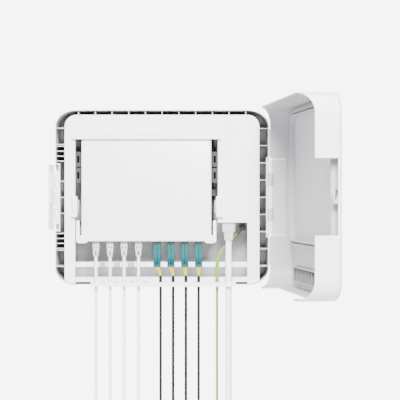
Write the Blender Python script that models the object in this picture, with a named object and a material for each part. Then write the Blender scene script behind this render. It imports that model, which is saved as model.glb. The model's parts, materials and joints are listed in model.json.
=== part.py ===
"""An outdoor fibre and network termination box, open on its vertical hinge.

Metres, +Z up. X runs to the right, Y runs back into the wall or pole, and the origin is the centre of the
bracket's flat rear face. Every size that can be set by itself is a named value below.
"""

import math

import bmesh
import bpy
from mathutils import Matrix, Vector

GAP = 0.0003                      # clearance between pieces that touch

# Rear housing
HOUSING_WIDTH = 0.354
HOUSING_HEIGHT = 0.290
HOUSING_DEPTH = 0.077
HOUSING_WALL = 0.0016             # thin, and stiffened by the ribs
HOUSING_FLOOR = 0.003
CORNER_X = 0.035
CORNER_Z = 0.028
SIDE_CHANNEL = 0.0162             # outer face of the housing to the inner panel, at the sides
TOP_CHANNEL = 0.009               # the same at the top
RIB_THICKNESS = 0.0010
RIB_SETBACK = 0.004               # from the rim back to the ribs' front edges
TOP_RIBS = 11
TOP_RIB_PITCH = 0.0277
SIDE_RIBS = 9
SIDE_RIB_PITCH = 0.0285
LATCH_RIB_PITCH = 0.0265          # the left side: three ribs behind the latch ...
CLOSE_RIBS = 4                    # ... a close group above and below it ...
CLOSE_RIB_START = 0.0065
CLOSE_RIB_PITCH = 0.0082
FAR_RIBS = (0.0875, 0.1145)       # ... and two more towards each corner
LIP_REACH = 0.0035                # a lip beside the hinge closes the gap behind the open cover
LIP_SETBACK = 0.0062
LIP_THICKNESS = 0.0022
LIP_END = 0.112
CORNER_STEPS = 10

# Bracket behind the housing
BRACKET_WIDTH = 0.120
BRACKET_HEIGHT = 0.170
BRACKET_THICKNESS = 0.008
STRAP_CHANNEL_DEPTH = 0.0048      # two channels across its front take straps round a pole
STRAP_CHANNEL_HEIGHT = 0.015
STRAP_SPACING = 0.110

# Inner panel and its openings
PANEL_PROUD = 0.003               # the panel stands this far in front of the rim
PANEL_SHEET = 0.0025
PANEL_RADIUS = 0.0195
WINDOW_LEFT = -0.1432
WINDOW_RIGHT = 0.0922
WINDOW_TOP = 0.1035
BAY_RIGHT = 0.1409                # the wider bay beside the switch, where the mains lead arrives
BAY_TOP = -0.0417

# Rail across the top of the window
RAIL_LEFT = -0.1483
RAIL_RIGHT = 0.0972
RAIL_BOTTOM = 0.0957
RAIL_TOP = 0.1109
RAIL_PROUD = 0.006

# The switch that the box holds
SWITCH_WIDTH = 0.2147
SWITCH_CENTRE = -0.02585
SWITCH_TOP = 0.100
SWITCH_BOTTOM = -0.0729
SWITCH_DEPTH = 0.044
SWITCH_WALL = 0.0022
SWITCH_CHAMFER = 0.003
SWITCH_CORNER = 0.004
BOARD_THICKNESS = 0.0016
JACK_HALF = 0.0085                # socket blocks reach this far past their outer sockets
JACK_THICKNESS = 0.014
JACK_HEIGHT = 0.021
PLUG_DEPTH = 0.012                # how far a plug goes into its socket
MODULE_DEPTH = 0.045
MODULE_OUT = 0.0066
DC_FRONT = -0.060                 # link from the power supply into the switch's side
DC_BACK = -0.052
DC_BOTTOM = 0.002
DC_TOP = 0.014

# Cradle behind the switch, sliding support under it and clips beside it
CRADLE_SHEET = 0.0025
CRADLE_MARGIN = 0.0042            # cradle plate beyond the switch, each side
BLOCK_WIDTH = 0.008
BLOCK_GAP = 0.0015                # blocks' inner faces beyond the switch
BLOCK_SETBACK = 0.006
BLOCK_HEIGHTS = ((0.0502, 0.0754), (0.0238, 0.0485))
POCKET_HALF_WIDTH = 0.0018
POCKET_HALF_HEIGHT = 0.0055
POCKET_DEPTH = 0.016
FOOT_X = 0.080                    # feet between the cradle and the housing's floor
FOOT_HEIGHTS = (0.070, -0.010)
FOOT_HALF = 0.006
ARM_SHEET = 0.0025
ARM_FLANGE = 0.0051
ARM_OUT = 0.0080                  # arms' outer faces beyond the switch
ARM_TOP = -0.0384
CROSS_TOP = -0.050                # cross piece that joins the two arms
CROSS_BOTTOM = -0.062
HOOK_TOP = -0.0627
HOOK_WIDTH = 0.0192
HOOK_SHEET = 0.0025
HOOK_RADIUS = 0.005
SHELF_DEPTH = 0.022
CLIP_TOP = 0.0015
CLIP_BOTTOM = -0.0325
CLIP_PROUD = 0.008
CLIP_LEFT = (-0.1495, -0.1394)
CLIP_RIGHT = (0.0892, 0.1005)
CLIP_ARM = 0.0028
CLIP_ARM_TOP = -0.0045
CLIP_ARM_BOTTOM = -0.026
GRIP_BITE = 0.0028
GRIP_STEPS = 8

# Power supply
PSU_LEFT = 0.0968
PSU_RIGHT = 0.152
PSU_TOP = 0.075
PSU_BOTTOM = -0.030
PSU_SETBACK = 0.0035
PSU_DEPTH = 0.0395
INLET_MARGIN = 0.0025             # inlet beyond the mains plug, each side

# Leads
LEAD_SETBACK = 0.012              # lead centre lines behind the panel's front
ETHERNET_DIAMETER = 0.005
FIBRE_DIAMETER = 0.0045
EARTH_DIAMETER = 0.0045
POWER_DIAMETER = 0.0105
PLUG_WIDTH = 0.0117
PLUG_THICKNESS = 0.008
DUPLEX_WIDTH = 0.011
DUPLEX_THICKNESS = 0.0095
LEG_DIAMETER = 0.0032
MODULE_WIDTH = 0.0134
MODULE_THICKNESS = 0.0085
POWER_PLUG_WIDTH = 0.019
POWER_PLUG_THICKNESS = 0.016
BOOT_WIDE = 0.0112                # boots taper from this width ...
BOOT_NARROW = 0.0082              # ... to this one at the cable
BOOT_THICK = 0.0076
BOOT_THIN = 0.0068
LEG_SPREAD_HIGH = 0.0023          # the two yellow legs, where they leave the duplex connector ...
LEG_SPREAD_LOW = 0.0009           # ... and where they enter the black jacket
SCREW_RADIUS = 0.002
SCREW_HEAD = 0.0045
LUG_RADIUS = 0.0052
LUG_SHEET = 0.0012
BARREL_THIN = 0.0024              # radii of the crimped barrels on the earth lugs
BARREL_THICK = 0.0029
EARTH_BARREL_START = 0.0050       # from the screw's axis
EARTH_POST_X = 0.1339
EARTH_POST_Z = -0.0507
EARTH_POST_Y = -0.0640
EARTH_POST_BASE = 0.0046
EARTH_POST_END = 0.0044
BOOT_END = -0.098                 # heights at which the connectors end and the cables begin
DUPLEX_END = -0.1144
JACKET_START = -0.1310
STRAIN_END = -0.070
ETHERNET_X = (-0.1098, -0.0863, -0.0631, -0.0393)
FIBRE_X = (-0.0083, 0.0146, 0.0375, 0.0604)
FIBRE_HANG_X = (-0.0026, 0.0181, 0.0393, 0.0604)
POWER_X = 0.1101
EARTH_X = 0.091

# Combs and the bar at the bottom
COMB_HEIGHT = 0.008
COMB_DEPTH = 0.020
COMB_SETBACK = 0.004
UPPER_COMB_Z = -0.1112
LOWER_COMB_Z = -0.1361
SLOT_CLEARANCE = 0.0004
LOWER_COMB_INSET = 0.010          # shorter than the upper comb, to clear the housing's round corners
CLAMP_LEFT = -0.118
CLAMP_RIGHT = 0.122
CLAMP_HEIGHT = 0.0068
CLAMP_PROUD = 0.002
OUTLET_MARGIN = 0.004             # the housing's lower wall is open this far past the clamp bar

# Cover and its hinge
COVER_MARGIN_X = 0.004            # the cover is this much larger than the housing, each side
COVER_MARGIN_Z = 0.0035
COVER_WALL = 0.0025
COVER_DEPTH = 0.0391
COVER_HOOD = 0.019                # how far the top and bottom walls reach back over the housing
COVER_EDGE = 0.005
HINGE_OUT = 0.0018                # hinge axis outside the housing's side
HINGE_BACK = 0.0027               # hinge axis behind the panel's front
HINGE_NOTCH = 0.0635              # half height of the notch that the hinge fills
HINGE_LEAF_DEPTH = 0.027
KNUCKLE_RADIUS = 0.004
PIN_RADIUS = 0.0015
OPEN_ANGLE = 97.0
SEAL_HALF_WIDTH = 0.160
SEAL_TOP = 0.138
SEAL_BOTTOM = -0.0765
SEAL_RADIUS = 0.024
SEAL_WALL = 0.0016
SEAL_GROOVE = 0.0036
SEAL_RIDGE = 0.0093
SEAL_THICKNESS = 0.006
BAND_TOP = -0.1115                # ribbed band inside the cover, opposite the combs
BAND_BOTTOM = -0.136
BAND_HALF = 0.138
BAND_RISE = 0.009
BAND_RIBS = 12
BAND_PITCH = 0.023
LEAF_KNUCKLES = ((0.0184, 0.0396), (-0.0396, -0.0184))
BRACKET_KNUCKLES = ((0.040, 0.062), (-0.018, 0.018), (-0.062, -0.040))
HINGE_PIN_HALF = 0.0625
LEAD_NOTCH_DEPTH = 0.007          # the lower wall is cut away round the leads, from its rim
LEAD_NOTCH_MARGIN = 0.005

# Latch
LATCH_HALF = 0.0535
LATCH_RECESS = 0.0067             # the housing's side is stepped in by this much at the latch
LATCH_RECESS_DEPTH = 0.012
LATCH_PIVOT_BACK = 0.006          # pivot behind the rim
LATCH_SHEET = 0.0025
LATCH_TOOTH = 0.0024
LATCH_BARREL = 0.003
LATCH_TILT = 6.0                  # released, at rest
NOTCH_DEPTH = 0.033               # notch in the cover's side that the lever closes into
CATCH_DEPTH = 0.0265              # from the cover's rim to the catch that the lever's tooth goes behind
CATCH_REACH = 0.0018
CATCH_SHEET = 0.0022
CATCH_HALF = 0.010
TOOTH_HALF = 0.009
LATCH_BARREL_Z = (0.0275, 0.0, -0.0275)
LATCH_BARREL_HALF = 0.0105
LATCH_LUG_Z = (0.01375, -0.01375, 0.041, -0.041)
LATCH_LUG_HALF = 0.003

# Worked out from the values above
HOUSING_BACK = -(BRACKET_THICKNESS + GAP)
FLOOR_FRONT = HOUSING_BACK - HOUSING_FLOOR
RIM = HOUSING_BACK - HOUSING_DEPTH
PANEL_FRONT = RIM - PANEL_PROUD
HALF_WIDTH = HOUSING_WIDTH / 2
HALF_HEIGHT = HOUSING_HEIGHT / 2
PANEL_SIDE = HALF_WIDTH - SIDE_CHANNEL
PANEL_TOP = HALF_HEIGHT - TOP_CHANNEL
PANEL_BOTTOM = -HALF_HEIGHT + HOUSING_WALL + GAP
LEAD_Y = PANEL_FRONT + LEAD_SETBACK
SWITCH_LEFT = SWITCH_CENTRE - SWITCH_WIDTH / 2
SWITCH_RIGHT = SWITCH_CENTRE + SWITCH_WIDTH / 2
SWITCH_FRONT = PANEL_FRONT
SWITCH_BACK = SWITCH_FRONT + SWITCH_DEPTH
BOARD_FRONT = LEAD_Y + 0.0073
SPLIT_Y = BOARD_FRONT + BOARD_THICKNESS + 0.0011
COMB_FRONT = PANEL_FRONT + COMB_SETBACK
HINGE_X = HALF_WIDTH + HINGE_OUT
HINGE_Y = PANEL_FRONT + HINGE_BACK
HINGE_WALL = HINGE_X - KNUCKLE_RADIUS - 0.001     # outer face of the housing's side behind the hinge
COVER_LEFT = -(HALF_WIDTH + COVER_MARGIN_X)
COVER_RIGHT = HALF_WIDTH + COVER_MARGIN_X
COVER_TOP = HALF_HEIGHT + COVER_MARGIN_Z
HOOD_START = HALF_HEIGHT - CORNER_Z     # height at which the cover's side rim begins to curve back
PIVOT_X = -HALF_WIDTH + LATCH_BARREL + 0.0002
PIVOT_Y = RIM + LATCH_PIVOT_BACK
PLUG_BODY_END = SWITCH_BOTTOM - 0.0106
PSU_FRONT = PANEL_FRONT + PSU_SETBACK
PSU_BACK = PSU_FRONT + PSU_DEPTH
INLET_FACE = BAY_TOP - GAP
EARTH_LUG_Y = EARTH_POST_Y - GAP - LUG_SHEET / 2

# Leads hang on these lines
ETHERNET_ROUTES = [[(x, LEAD_Y, z) for z in (BOOT_END - GAP, -0.16, -0.24, -0.32, -0.398)] for x in ETHERNET_X]
FIBRE_ROUTES = [[(x, LEAD_Y, z) for z in (JACKET_START - GAP, -0.17, -0.25, -0.33, -0.414)]
                for x in FIBRE_HANG_X]
POWER_ROUTE = [(POWER_X, LEAD_Y, z) for z in (STRAIN_END - GAP, -0.14, -0.22, -0.30, -0.385)]
EARTH_ROUTE = [(0.1235, EARTH_LUG_Y, -0.0612), (0.117, EARTH_LUG_Y, -0.0672), (0.104, -0.0680, -0.0815),
               (0.0935, -0.0735, -0.0975), (0.0912, LEAD_Y, -0.1100), (EARTH_X, LEAD_Y, -0.125),
               (EARTH_X, LEAD_Y, -0.20), (EARTH_X, LEAD_Y, -0.30), (EARTH_X, LEAD_Y, -0.392)]


def clear_scene():
    for item in list(bpy.data.objects):
        bpy.data.objects.remove(item)


def material(name, colour, roughness, metallic=0.0):
    made = bpy.data.materials.new(name)
    made.use_nodes = True
    shader = made.node_tree.nodes["Principled BSDF"]
    shader.inputs["Base Color"].default_value = (*colour, 1.0)
    shader.inputs["Roughness"].default_value = roughness
    shader.inputs["Metallic"].default_value = metallic
    return made


def rounded(x0, x1, z0, z1, rx, rz, corners="tr tl bl br", steps=CORNER_STEPS):
    """A rounded rectangle's outline in X and Z, going round from the top right."""
    centres = {"tr": (x1, z1, -1, -1, 0), "tl": (x0, z1, 1, -1, 90), "bl": (x0, z0, 1, 1, 180),
               "br": (x1, z0, -1, 1, 270)}
    points = []
    for key in ("tr", "tl", "bl", "br"):
        x, z, sx, sz, start = centres[key]
        if key not in corners.split():
            points.append((x, z))
            continue
        for i in range(steps + 1):
            a = math.radians(start + 90 * i / steps)
            points.append((x + sx * rx + rx * math.cos(a), z + sz * rz + rz * math.sin(a)))
    return points


def add_prism(bm, outline, y0, y1):
    """A closed prism of an X, Z outline between two depths."""
    verts = [bm.verts.new((x, y0, z)) for x, z in outline]
    face = bm.faces.new(verts)
    moved = bmesh.ops.extrude_face_region(bm, geom=[face])["geom"]
    bmesh.ops.translate(bm, vec=(0, y1 - y0, 0), verts=[g for g in moved if isinstance(g, bmesh.types.BMVert)])


def add_box(bm, x0, x1, y0, y1, z0, z1):
    add_prism(bm, [(x0, z0), (x1, z0), (x1, z1), (x0, z1)], y0, y1)


def add_profile(bm, profile, z0, z1):
    """A closed prism of an X, Y outline between two heights."""
    verts = [bm.verts.new((x, y, z0)) for x, y in profile]
    face = bm.faces.new(verts)
    moved = bmesh.ops.extrude_face_region(bm, geom=[face])["geom"]
    bmesh.ops.translate(bm, vec=(0, 0, z1 - z0), verts=[g for g in moved if isinstance(g, bmesh.types.BMVert)])


def add_rod(bm, start, end, r0, r1=None, sides=16):
    """A closed cylinder or cone between two points."""
    start, end = Vector(start), Vector(end)
    along = end - start
    turn = along.to_track_quat("Z", "Y").to_matrix().to_4x4()
    place = Matrix.Translation((start + end) / 2) @ turn
    bmesh.ops.create_cone(bm, cap_ends=True, segments=sides, radius1=r0, radius2=r0 if r1 is None else r1,
                          depth=along.length, matrix=place)


def finish_mesh(name, bm):
    bmesh.ops.recalc_face_normals(bm, faces=bm.faces)
    mesh = bpy.data.meshes.new(name)
    bm.to_mesh(mesh)
    bm.free()
    mesh.shade_smooth()
    mesh.set_sharp_from_angle(angle=math.radians(35))
    return mesh


def piece(name, bm, look, parent=None):
    made = bpy.data.objects.new(name, finish_mesh(name, bm))
    made.data.materials.append(look)
    made.parent = parent
    bpy.context.collection.objects.link(made)
    return made


def combine(target, bm, operation):
    """A live Boolean with a hidden tool that shares the target's parent."""
    name = f"tool_{target.name}_{len(target.modifiers)}"
    tool = bpy.data.objects.new(name, finish_mesh(name, bm))
    tool.parent = target.parent
    tool.hide_render = True
    tool.display_type = "WIRE"
    bpy.context.collection.objects.link(tool)
    boolean = target.modifiers.new(operation.lower(), "BOOLEAN")
    boolean.operation = operation
    boolean.solver = "EXACT"
    boolean.object = tool


def cut(target, bm):
    combine(target, bm, "DIFFERENCE")


def join(target, bm):
    combine(target, bm, "UNION")


def pivot(name, x, y, degrees):
    empty = bpy.data.objects.new(name, None)
    empty.location = (x, y, 0)
    empty.rotation_euler.z = math.radians(degrees)
    bpy.context.collection.objects.link(empty)
    return empty


# Housing ------------------------------------------------------------------------------------------------------

def housing_outline(inset):
    return rounded(-HALF_WIDTH + inset, HALF_WIDTH - inset, -HALF_HEIGHT + inset, HALF_HEIGHT - inset,
                   CORNER_X - inset, CORNER_Z - inset)


def add_recesses(bm, grow):
    """The steps in the housing's sides for the latch and for the hinge, grown by a wall for the cavity."""
    latch_wall = -HALF_WIDTH + LATCH_RECESS
    add_box(bm, -HALF_WIDTH - 0.01, latch_wall + grow, RIM - 0.01, RIM + LATCH_RECESS_DEPTH + grow,
            -LATCH_HALF - 0.001 - grow, LATCH_HALF + 0.001 + grow)
    add_box(bm, HINGE_WALL - grow, HALF_WIDTH + 0.01, RIM - 0.01, HINGE_Y + KNUCKLE_RADIUS + 0.008 + grow,
            -HINGE_NOTCH - 0.001 - grow, HINGE_NOTCH + 0.001 + grow)


def make_rear_housing(look):
    bm = bmesh.new()
    add_prism(bm, housing_outline(0), HOUSING_BACK, RIM)
    housing = piece("rear_housing", bm, look)
    bm = bmesh.new()
    add_recesses(bm, 0)
    cut(housing, bm)
    bm = bmesh.new()
    add_prism(bm, housing_outline(HOUSING_WALL), FLOOR_FRONT, RIM - 0.01)
    cavity = piece("tool_cavity", bm, look)
    bm = bmesh.new()
    add_recesses(bm, HOUSING_WALL)
    cut(cavity, bm)
    cavity.hide_render = True
    cavity.display_type = "WIRE"
    hollow = housing.modifiers.new("hollow", "BOOLEAN")
    hollow.operation = "DIFFERENCE"
    hollow.solver = "EXACT"
    hollow.object = cavity

    bm = bmesh.new()
    rib_back = FLOOR_FRONT + 0.001
    rib_front = RIM + RIB_SETBACK
    half = RIB_THICKNESS / 2
    for i in range(TOP_RIBS):
        x = (i - (TOP_RIBS - 1) / 2) * TOP_RIB_PITCH
        add_box(bm, x - half, x + half, rib_back, rib_front, PANEL_TOP + GAP, HALF_HEIGHT - HOUSING_WALL / 2)
    for i in range(SIDE_RIBS):
        z = ((SIDE_RIBS - 1) / 2 - i) * SIDE_RIB_PITCH
        beside_hinge = abs(z) < HINGE_NOTCH + HOUSING_WALL
        outside = HINGE_WALL if beside_hinge else HALF_WIDTH
        add_box(bm, PANEL_SIDE + GAP, outside - HOUSING_WALL / 2, rib_back, rib_front, z - half, z + half)
    for z in left_rib_heights():
        reach = HALF_WIDTH - HOUSING_WALL / 2
        if abs(z) < LATCH_HALF + 0.001 + HOUSING_WALL:
            reach -= LATCH_RECESS
        add_box(bm, -reach, -PANEL_SIDE - GAP, rib_back, rib_front, z - half, z + half)
    join(housing, bm)

    bm = bmesh.new()
    add_rod(bm, (EARTH_POST_X, rib_back, EARTH_POST_Z), (EARTH_POST_X, EARTH_POST_Y, EARTH_POST_Z),
            EARTH_POST_BASE, EARTH_POST_END, 20)
    for z in LATCH_LUG_Z:
        add_box(bm, -HALF_WIDTH + 0.0002, -HALF_WIDTH + LATCH_RECESS + 0.001, PIVOT_Y - LATCH_BARREL,
                PIVOT_Y + LATCH_BARREL, z - LATCH_LUG_HALF, z + LATCH_LUG_HALF)
    lip_front = RIM + LIP_SETBACK
    for side in (1, -1):
        z0, z1 = sorted((side * (HINGE_NOTCH + 0.004), side * LIP_END))
        add_box(bm, HALF_WIDTH - HOUSING_WALL / 2, HALF_WIDTH + LIP_REACH, lip_front,
                lip_front + LIP_THICKNESS, z0, z1)
    join(housing, bm)

    bm = bmesh.new()
    add_rod(bm, (EARTH_POST_X, EARTH_POST_Y + 0.008, EARTH_POST_Z),
            (EARTH_POST_X, EARTH_POST_Y - 0.001, EARTH_POST_Z), SCREW_RADIUS + GAP)
    add_rod(bm, (PIVOT_X, PIVOT_Y, -LATCH_HALF + 0.006), (PIVOT_X, PIVOT_Y, LATCH_HALF - 0.006), PIN_RADIUS + GAP)
    add_box(bm, CLAMP_LEFT - OUTLET_MARGIN, CLAMP_RIGHT + OUTLET_MARGIN, RIM - 0.01,
            LEAD_Y + POWER_DIAMETER / 2 + 0.003, -HALF_HEIGHT - 0.01, PANEL_BOTTOM + 0.002)
    cut(housing, bm)


def left_rib_heights():
    """Evenly spaced ribs beside the latch, and a close group above and below it."""
    heights = [i * LATCH_RIB_PITCH for i in (-1, 0, 1)]
    for side in (1, -1):
        heights += [side * (LATCH_HALF + CLOSE_RIB_START + i * CLOSE_RIB_PITCH) for i in range(CLOSE_RIBS)]
        heights += [side * z for z in FAR_RIBS]
    return heights


def make_bracket(look):
    bm = bmesh.new()
    half_width, half_height = BRACKET_WIDTH / 2, BRACKET_HEIGHT / 2
    add_prism(bm, rounded(-half_width, half_width, -half_height, half_height, 0.008, 0.008, steps=4), 0,
              -BRACKET_THICKNESS)
    bracket = piece("pole_bracket", bm, look)
    bm = bmesh.new()
    for z in (STRAP_SPACING / 2, -STRAP_SPACING / 2):
        add_box(bm, -half_width - 0.01, half_width + 0.01, -BRACKET_THICKNESS - 0.01,
                -BRACKET_THICKNESS + STRAP_CHANNEL_DEPTH, z - STRAP_CHANNEL_HEIGHT / 2,
                z + STRAP_CHANNEL_HEIGHT / 2)
    cut(bracket, bm)


def panel_outline():
    """Round at the top; at the bottom the corners follow the inside of the housing's own corners."""
    upper = rounded(-PANEL_SIDE, PANEL_SIDE, PANEL_BOTTOM, PANEL_TOP, PANEL_RADIUS, PANEL_RADIUS, "tr tl")[:-2]
    wide = CORNER_X - HOUSING_WALL - GAP
    high = CORNER_Z - HOUSING_WALL - GAP
    centre_x, centre_z = HALF_WIDTH - CORNER_X, CORNER_Z - HALF_HEIGHT
    start = math.acos((PANEL_SIDE - centre_x) / wide)
    lower = []
    for i in range(CORNER_STEPS + 1):
        a = start + (math.pi / 2 - start) * i / CORNER_STEPS
        lower.append((centre_x + wide * math.cos(a), centre_z - high * math.sin(a)))
    return upper + [(-x, z) for x, z in lower] + lower[::-1]


def make_inner_panel(look):
    back = FLOOR_FRONT - GAP
    bm = bmesh.new()
    add_prism(bm, panel_outline(), PANEL_FRONT, back)
    panel = piece("inner_panel", bm, look)
    bm = bmesh.new()
    inner = PANEL_RADIUS - PANEL_SHEET
    add_prism(bm, rounded(-PANEL_SIDE + PANEL_SHEET, PANEL_SIDE - PANEL_SHEET, PANEL_BOTTOM - 0.01,
                          PANEL_TOP - PANEL_SHEET, inner, inner, "tr tl"), PANEL_FRONT + PANEL_SHEET, back + 0.01)
    cut(panel, bm)
    bm = bmesh.new()
    front, behind = PANEL_FRONT - 0.01, PANEL_FRONT + PANEL_SHEET + 0.001
    add_prism(bm, [(WINDOW_LEFT, PANEL_BOTTOM - 0.01), (BAY_RIGHT, PANEL_BOTTOM - 0.01), (BAY_RIGHT, BAY_TOP),
                   (WINDOW_RIGHT, BAY_TOP), (WINDOW_RIGHT, WINDOW_TOP), (WINDOW_LEFT, WINDOW_TOP)], front, behind)
    cut(panel, bm)


def make_top_rail(look):
    bm = bmesh.new()
    add_prism(bm, rounded(RAIL_LEFT, RAIL_RIGHT, RAIL_BOTTOM, RAIL_TOP, 0.002, 0.002, steps=3),
              PANEL_FRONT - GAP, PANEL_FRONT - RAIL_PROUD)
    piece("top_rail", bm, look)


# Switch and what carries it -----------------------------------------------------------------------------------

def make_cradle(look):
    front = SWITCH_BACK + GAP
    back = front + CRADLE_SHEET
    bm = bmesh.new()
    add_box(bm, SWITCH_LEFT - CRADLE_MARGIN, SWITCH_RIGHT + CRADLE_MARGIN, front, back, SWITCH_BOTTOM + 0.004,
            SWITCH_TOP)
    cradle = piece("switch_cradle", bm, look)
    bm = bmesh.new()
    for side, edge in ((-1, SWITCH_LEFT), (1, SWITCH_RIGHT)):
        for z0, z1 in BLOCK_HEIGHTS:
            near, far = sorted((edge + side * BLOCK_GAP, edge + side * (BLOCK_GAP + BLOCK_WIDTH)))
            add_box(bm, near, far, SWITCH_FRONT + BLOCK_SETBACK, back - 0.0005, z0, z1)
        x = SWITCH_CENTRE + side * FOOT_X
        for z in FOOT_HEIGHTS:
            add_box(bm, x - FOOT_HALF, x + FOOT_HALF, back - 0.001, FLOOR_FRONT - GAP, z - FOOT_HALF,
                    z + FOOT_HALF)
    join(cradle, bm)
    bm = bmesh.new()
    for side, edge in ((-1, SWITCH_LEFT), (1, SWITCH_RIGHT)):
        for z0, z1 in BLOCK_HEIGHTS:
            middle = (z0 + z1) / 2
            x = edge + side * (BLOCK_GAP + BLOCK_WIDTH / 2)
            add_box(bm, x - POCKET_HALF_WIDTH, x + POCKET_HALF_WIDTH, SWITCH_FRONT, SWITCH_FRONT + POCKET_DEPTH,
                    middle - POCKET_HALF_HEIGHT, middle + POCKET_HALF_HEIGHT)
    cut(cradle, bm)


def make_support(look):
    """The sliding support: two arms joined behind the cradle, with a hook under each corner of the switch."""
    cross_front = SWITCH_BACK + GAP + CRADLE_SHEET + GAP * 2
    bottom = SWITCH_BOTTOM - GAP
    front = SWITCH_FRONT - GAP
    bm = bmesh.new()
    add_box(bm, SWITCH_LEFT - ARM_OUT, SWITCH_RIGHT + ARM_OUT, cross_front, cross_front + ARM_SHEET, CROSS_BOTTOM,
            CROSS_TOP)
    support = piece("switch_support", bm, look)
    for side, edge in ((-1, SWITCH_LEFT), (1, SWITCH_RIGHT)):
        outer = edge + side * ARM_OUT
        arm = sorted((outer, outer - side * ARM_SHEET))
        flange = sorted((outer, outer - side * ARM_FLANGE))
        hook = sorted((outer, outer - side * HOOK_WIDTH))
        heel = bottom - HOOK_SHEET + HOOK_RADIUS
        bm = bmesh.new()
        add_box(bm, arm[0], arm[1], front - HOOK_SHEET, cross_front + ARM_SHEET - 0.0004, heel,
                ARM_TOP)
        join(support, bm)
        bm = bmesh.new()
        add_box(bm, flange[0], flange[1], front - HOOK_SHEET + 0.0002, front, HOOK_TOP - 0.002,
                ARM_TOP - 0.0002)
        join(support, bm)
        bm = bmesh.new()
        corners = "tr br bl" if side < 0 else "tl bl br"
        add_prism(bm, rounded(hook[0], hook[1], bottom - HOOK_SHEET + 0.0001, HOOK_TOP, HOOK_RADIUS, HOOK_RADIUS,
                              corners, 6), front - HOOK_SHEET + 0.0001, front)
        join(support, bm)
        bm = bmesh.new()
        add_box(bm, hook[0] + HOOK_RADIUS, hook[1] - HOOK_RADIUS, front - 0.001, SWITCH_FRONT + SHELF_DEPTH,
                bottom - HOOK_SHEET + 0.0002, bottom)
        join(support, bm)


def make_release_clips(look):
    """Two sprung clips beside the switch, each with a hollow for a fingertip on its outer edge."""
    clips = (("release_clip_left", CLIP_LEFT, -1), ("release_clip_right", CLIP_RIGHT, 1))
    for name, (left, right), side in clips:
        outer, inner = (left, right) if side < 0 else (right, left)
        edge = []
        for i in range(GRIP_STEPS + 1):
            t = i / GRIP_STEPS
            z = CLIP_TOP + (CLIP_BOTTOM - CLIP_TOP) * t
            edge.append((outer - side * GRIP_BITE * math.sin(math.pi * t), z))
        bm = bmesh.new()
        add_prism(bm, edge + [(inner, CLIP_BOTTOM), (inner, CLIP_TOP)], PANEL_FRONT - GAP,
                  PANEL_FRONT - CLIP_PROUD)
        clip = piece(name, bm, look)
        bm = bmesh.new()
        arm = sorted((inner + side * 0.001, inner - side * CLIP_ARM))
        add_box(bm, arm[0], arm[1], PANEL_FRONT - CLIP_PROUD / 2, PANEL_FRONT + 0.014, CLIP_ARM_BOTTOM,
                CLIP_ARM_TOP)
        join(clip, bm)


def make_switch(shell, board_look, metal, dark):
    inner = SWITCH_WALL
    left, right, top, bottom = SWITCH_LEFT, SWITCH_RIGHT, SWITCH_TOP, SWITCH_BOTTOM
    bm = bmesh.new()
    outline = rounded(left, right, bottom, top, SWITCH_CORNER, SWITCH_CORNER, steps=4)
    add_prism(bm, outline, SWITCH_FRONT, SPLIT_Y)
    bevelled = [e for e in bm.edges if all(abs(v.co.y - SWITCH_FRONT) < 1e-6 for v in e.verts)]
    bmesh.ops.bevel(bm, geom=bevelled, offset=SWITCH_CHAMFER, segments=2, affect="EDGES", profile=0.5, material=-1)
    cover = piece("switch_cover", bm, shell)
    bm = bmesh.new()
    add_box(bm, left + inner, right - inner, SWITCH_FRONT + inner, SPLIT_Y + 0.01, bottom + inner, top - inner)
    cut(cover, bm)
    bm = bmesh.new()
    for group in (ETHERNET_X, FIBRE_X):
        add_box(bm, group[0] - JACK_HALF - GAP, group[-1] + JACK_HALF + GAP, LEAD_Y - JACK_THICKNESS / 2 - GAP,
                SPLIT_Y + 0.01, bottom - 0.01, bottom + inner + 0.001)
    cut(cover, bm)

    bm = bmesh.new()
    add_prism(bm, outline, SPLIT_Y + GAP, SWITCH_BACK)
    base = piece("switch_base", bm, shell)
    bm = bmesh.new()
    add_box(bm, left + inner, right - inner, SPLIT_Y - 0.01, SWITCH_BACK - inner, bottom + inner, top - inner)
    cut(base, bm)
    bm = bmesh.new()
    add_box(bm, right - 0.005, right + 0.01, DC_FRONT - GAP, DC_BACK + GAP, DC_BOTTOM - GAP, DC_TOP + GAP)
    cut(base, bm)

    bm = bmesh.new()
    add_box(bm, left + inner + 0.001, right - inner - 0.001, BOARD_FRONT, BOARD_FRONT + BOARD_THICKNESS,
            bottom + inner + 0.001, top - inner - 0.001)
    piece("circuit_board", bm, board_look)

    socket = (PLUG_WIDTH / 2 + GAP, PLUG_THICKNESS / 2 + GAP, PLUG_DEPTH + GAP)
    make_socket_block("ethernet_jacks", ETHERNET_X, JACK_HEIGHT, socket, dark)
    socket = (MODULE_WIDTH / 2 + GAP, MODULE_THICKNESS / 2 + GAP, MODULE_DEPTH + GAP)
    make_socket_block("sfp_cages", FIBRE_X, MODULE_DEPTH + 0.004, socket, metal)


def make_socket_block(name, centres, height, socket, look):
    """A block of sockets that open downwards through the switch's lower edge."""
    half_x, half_y, depth = socket
    bm = bmesh.new()
    add_box(bm, centres[0] - JACK_HALF, centres[-1] + JACK_HALF, LEAD_Y - JACK_THICKNESS / 2, BOARD_FRONT - GAP,
            SWITCH_BOTTOM, SWITCH_BOTTOM + height)
    block = piece(name, bm, look)
    bm = bmesh.new()
    for x in centres:
        add_box(bm, x - half_x, x + half_x, LEAD_Y - half_y, LEAD_Y + half_y, SWITCH_BOTTOM - 0.01,
                SWITCH_BOTTOM + depth)
    cut(block, bm)


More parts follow.
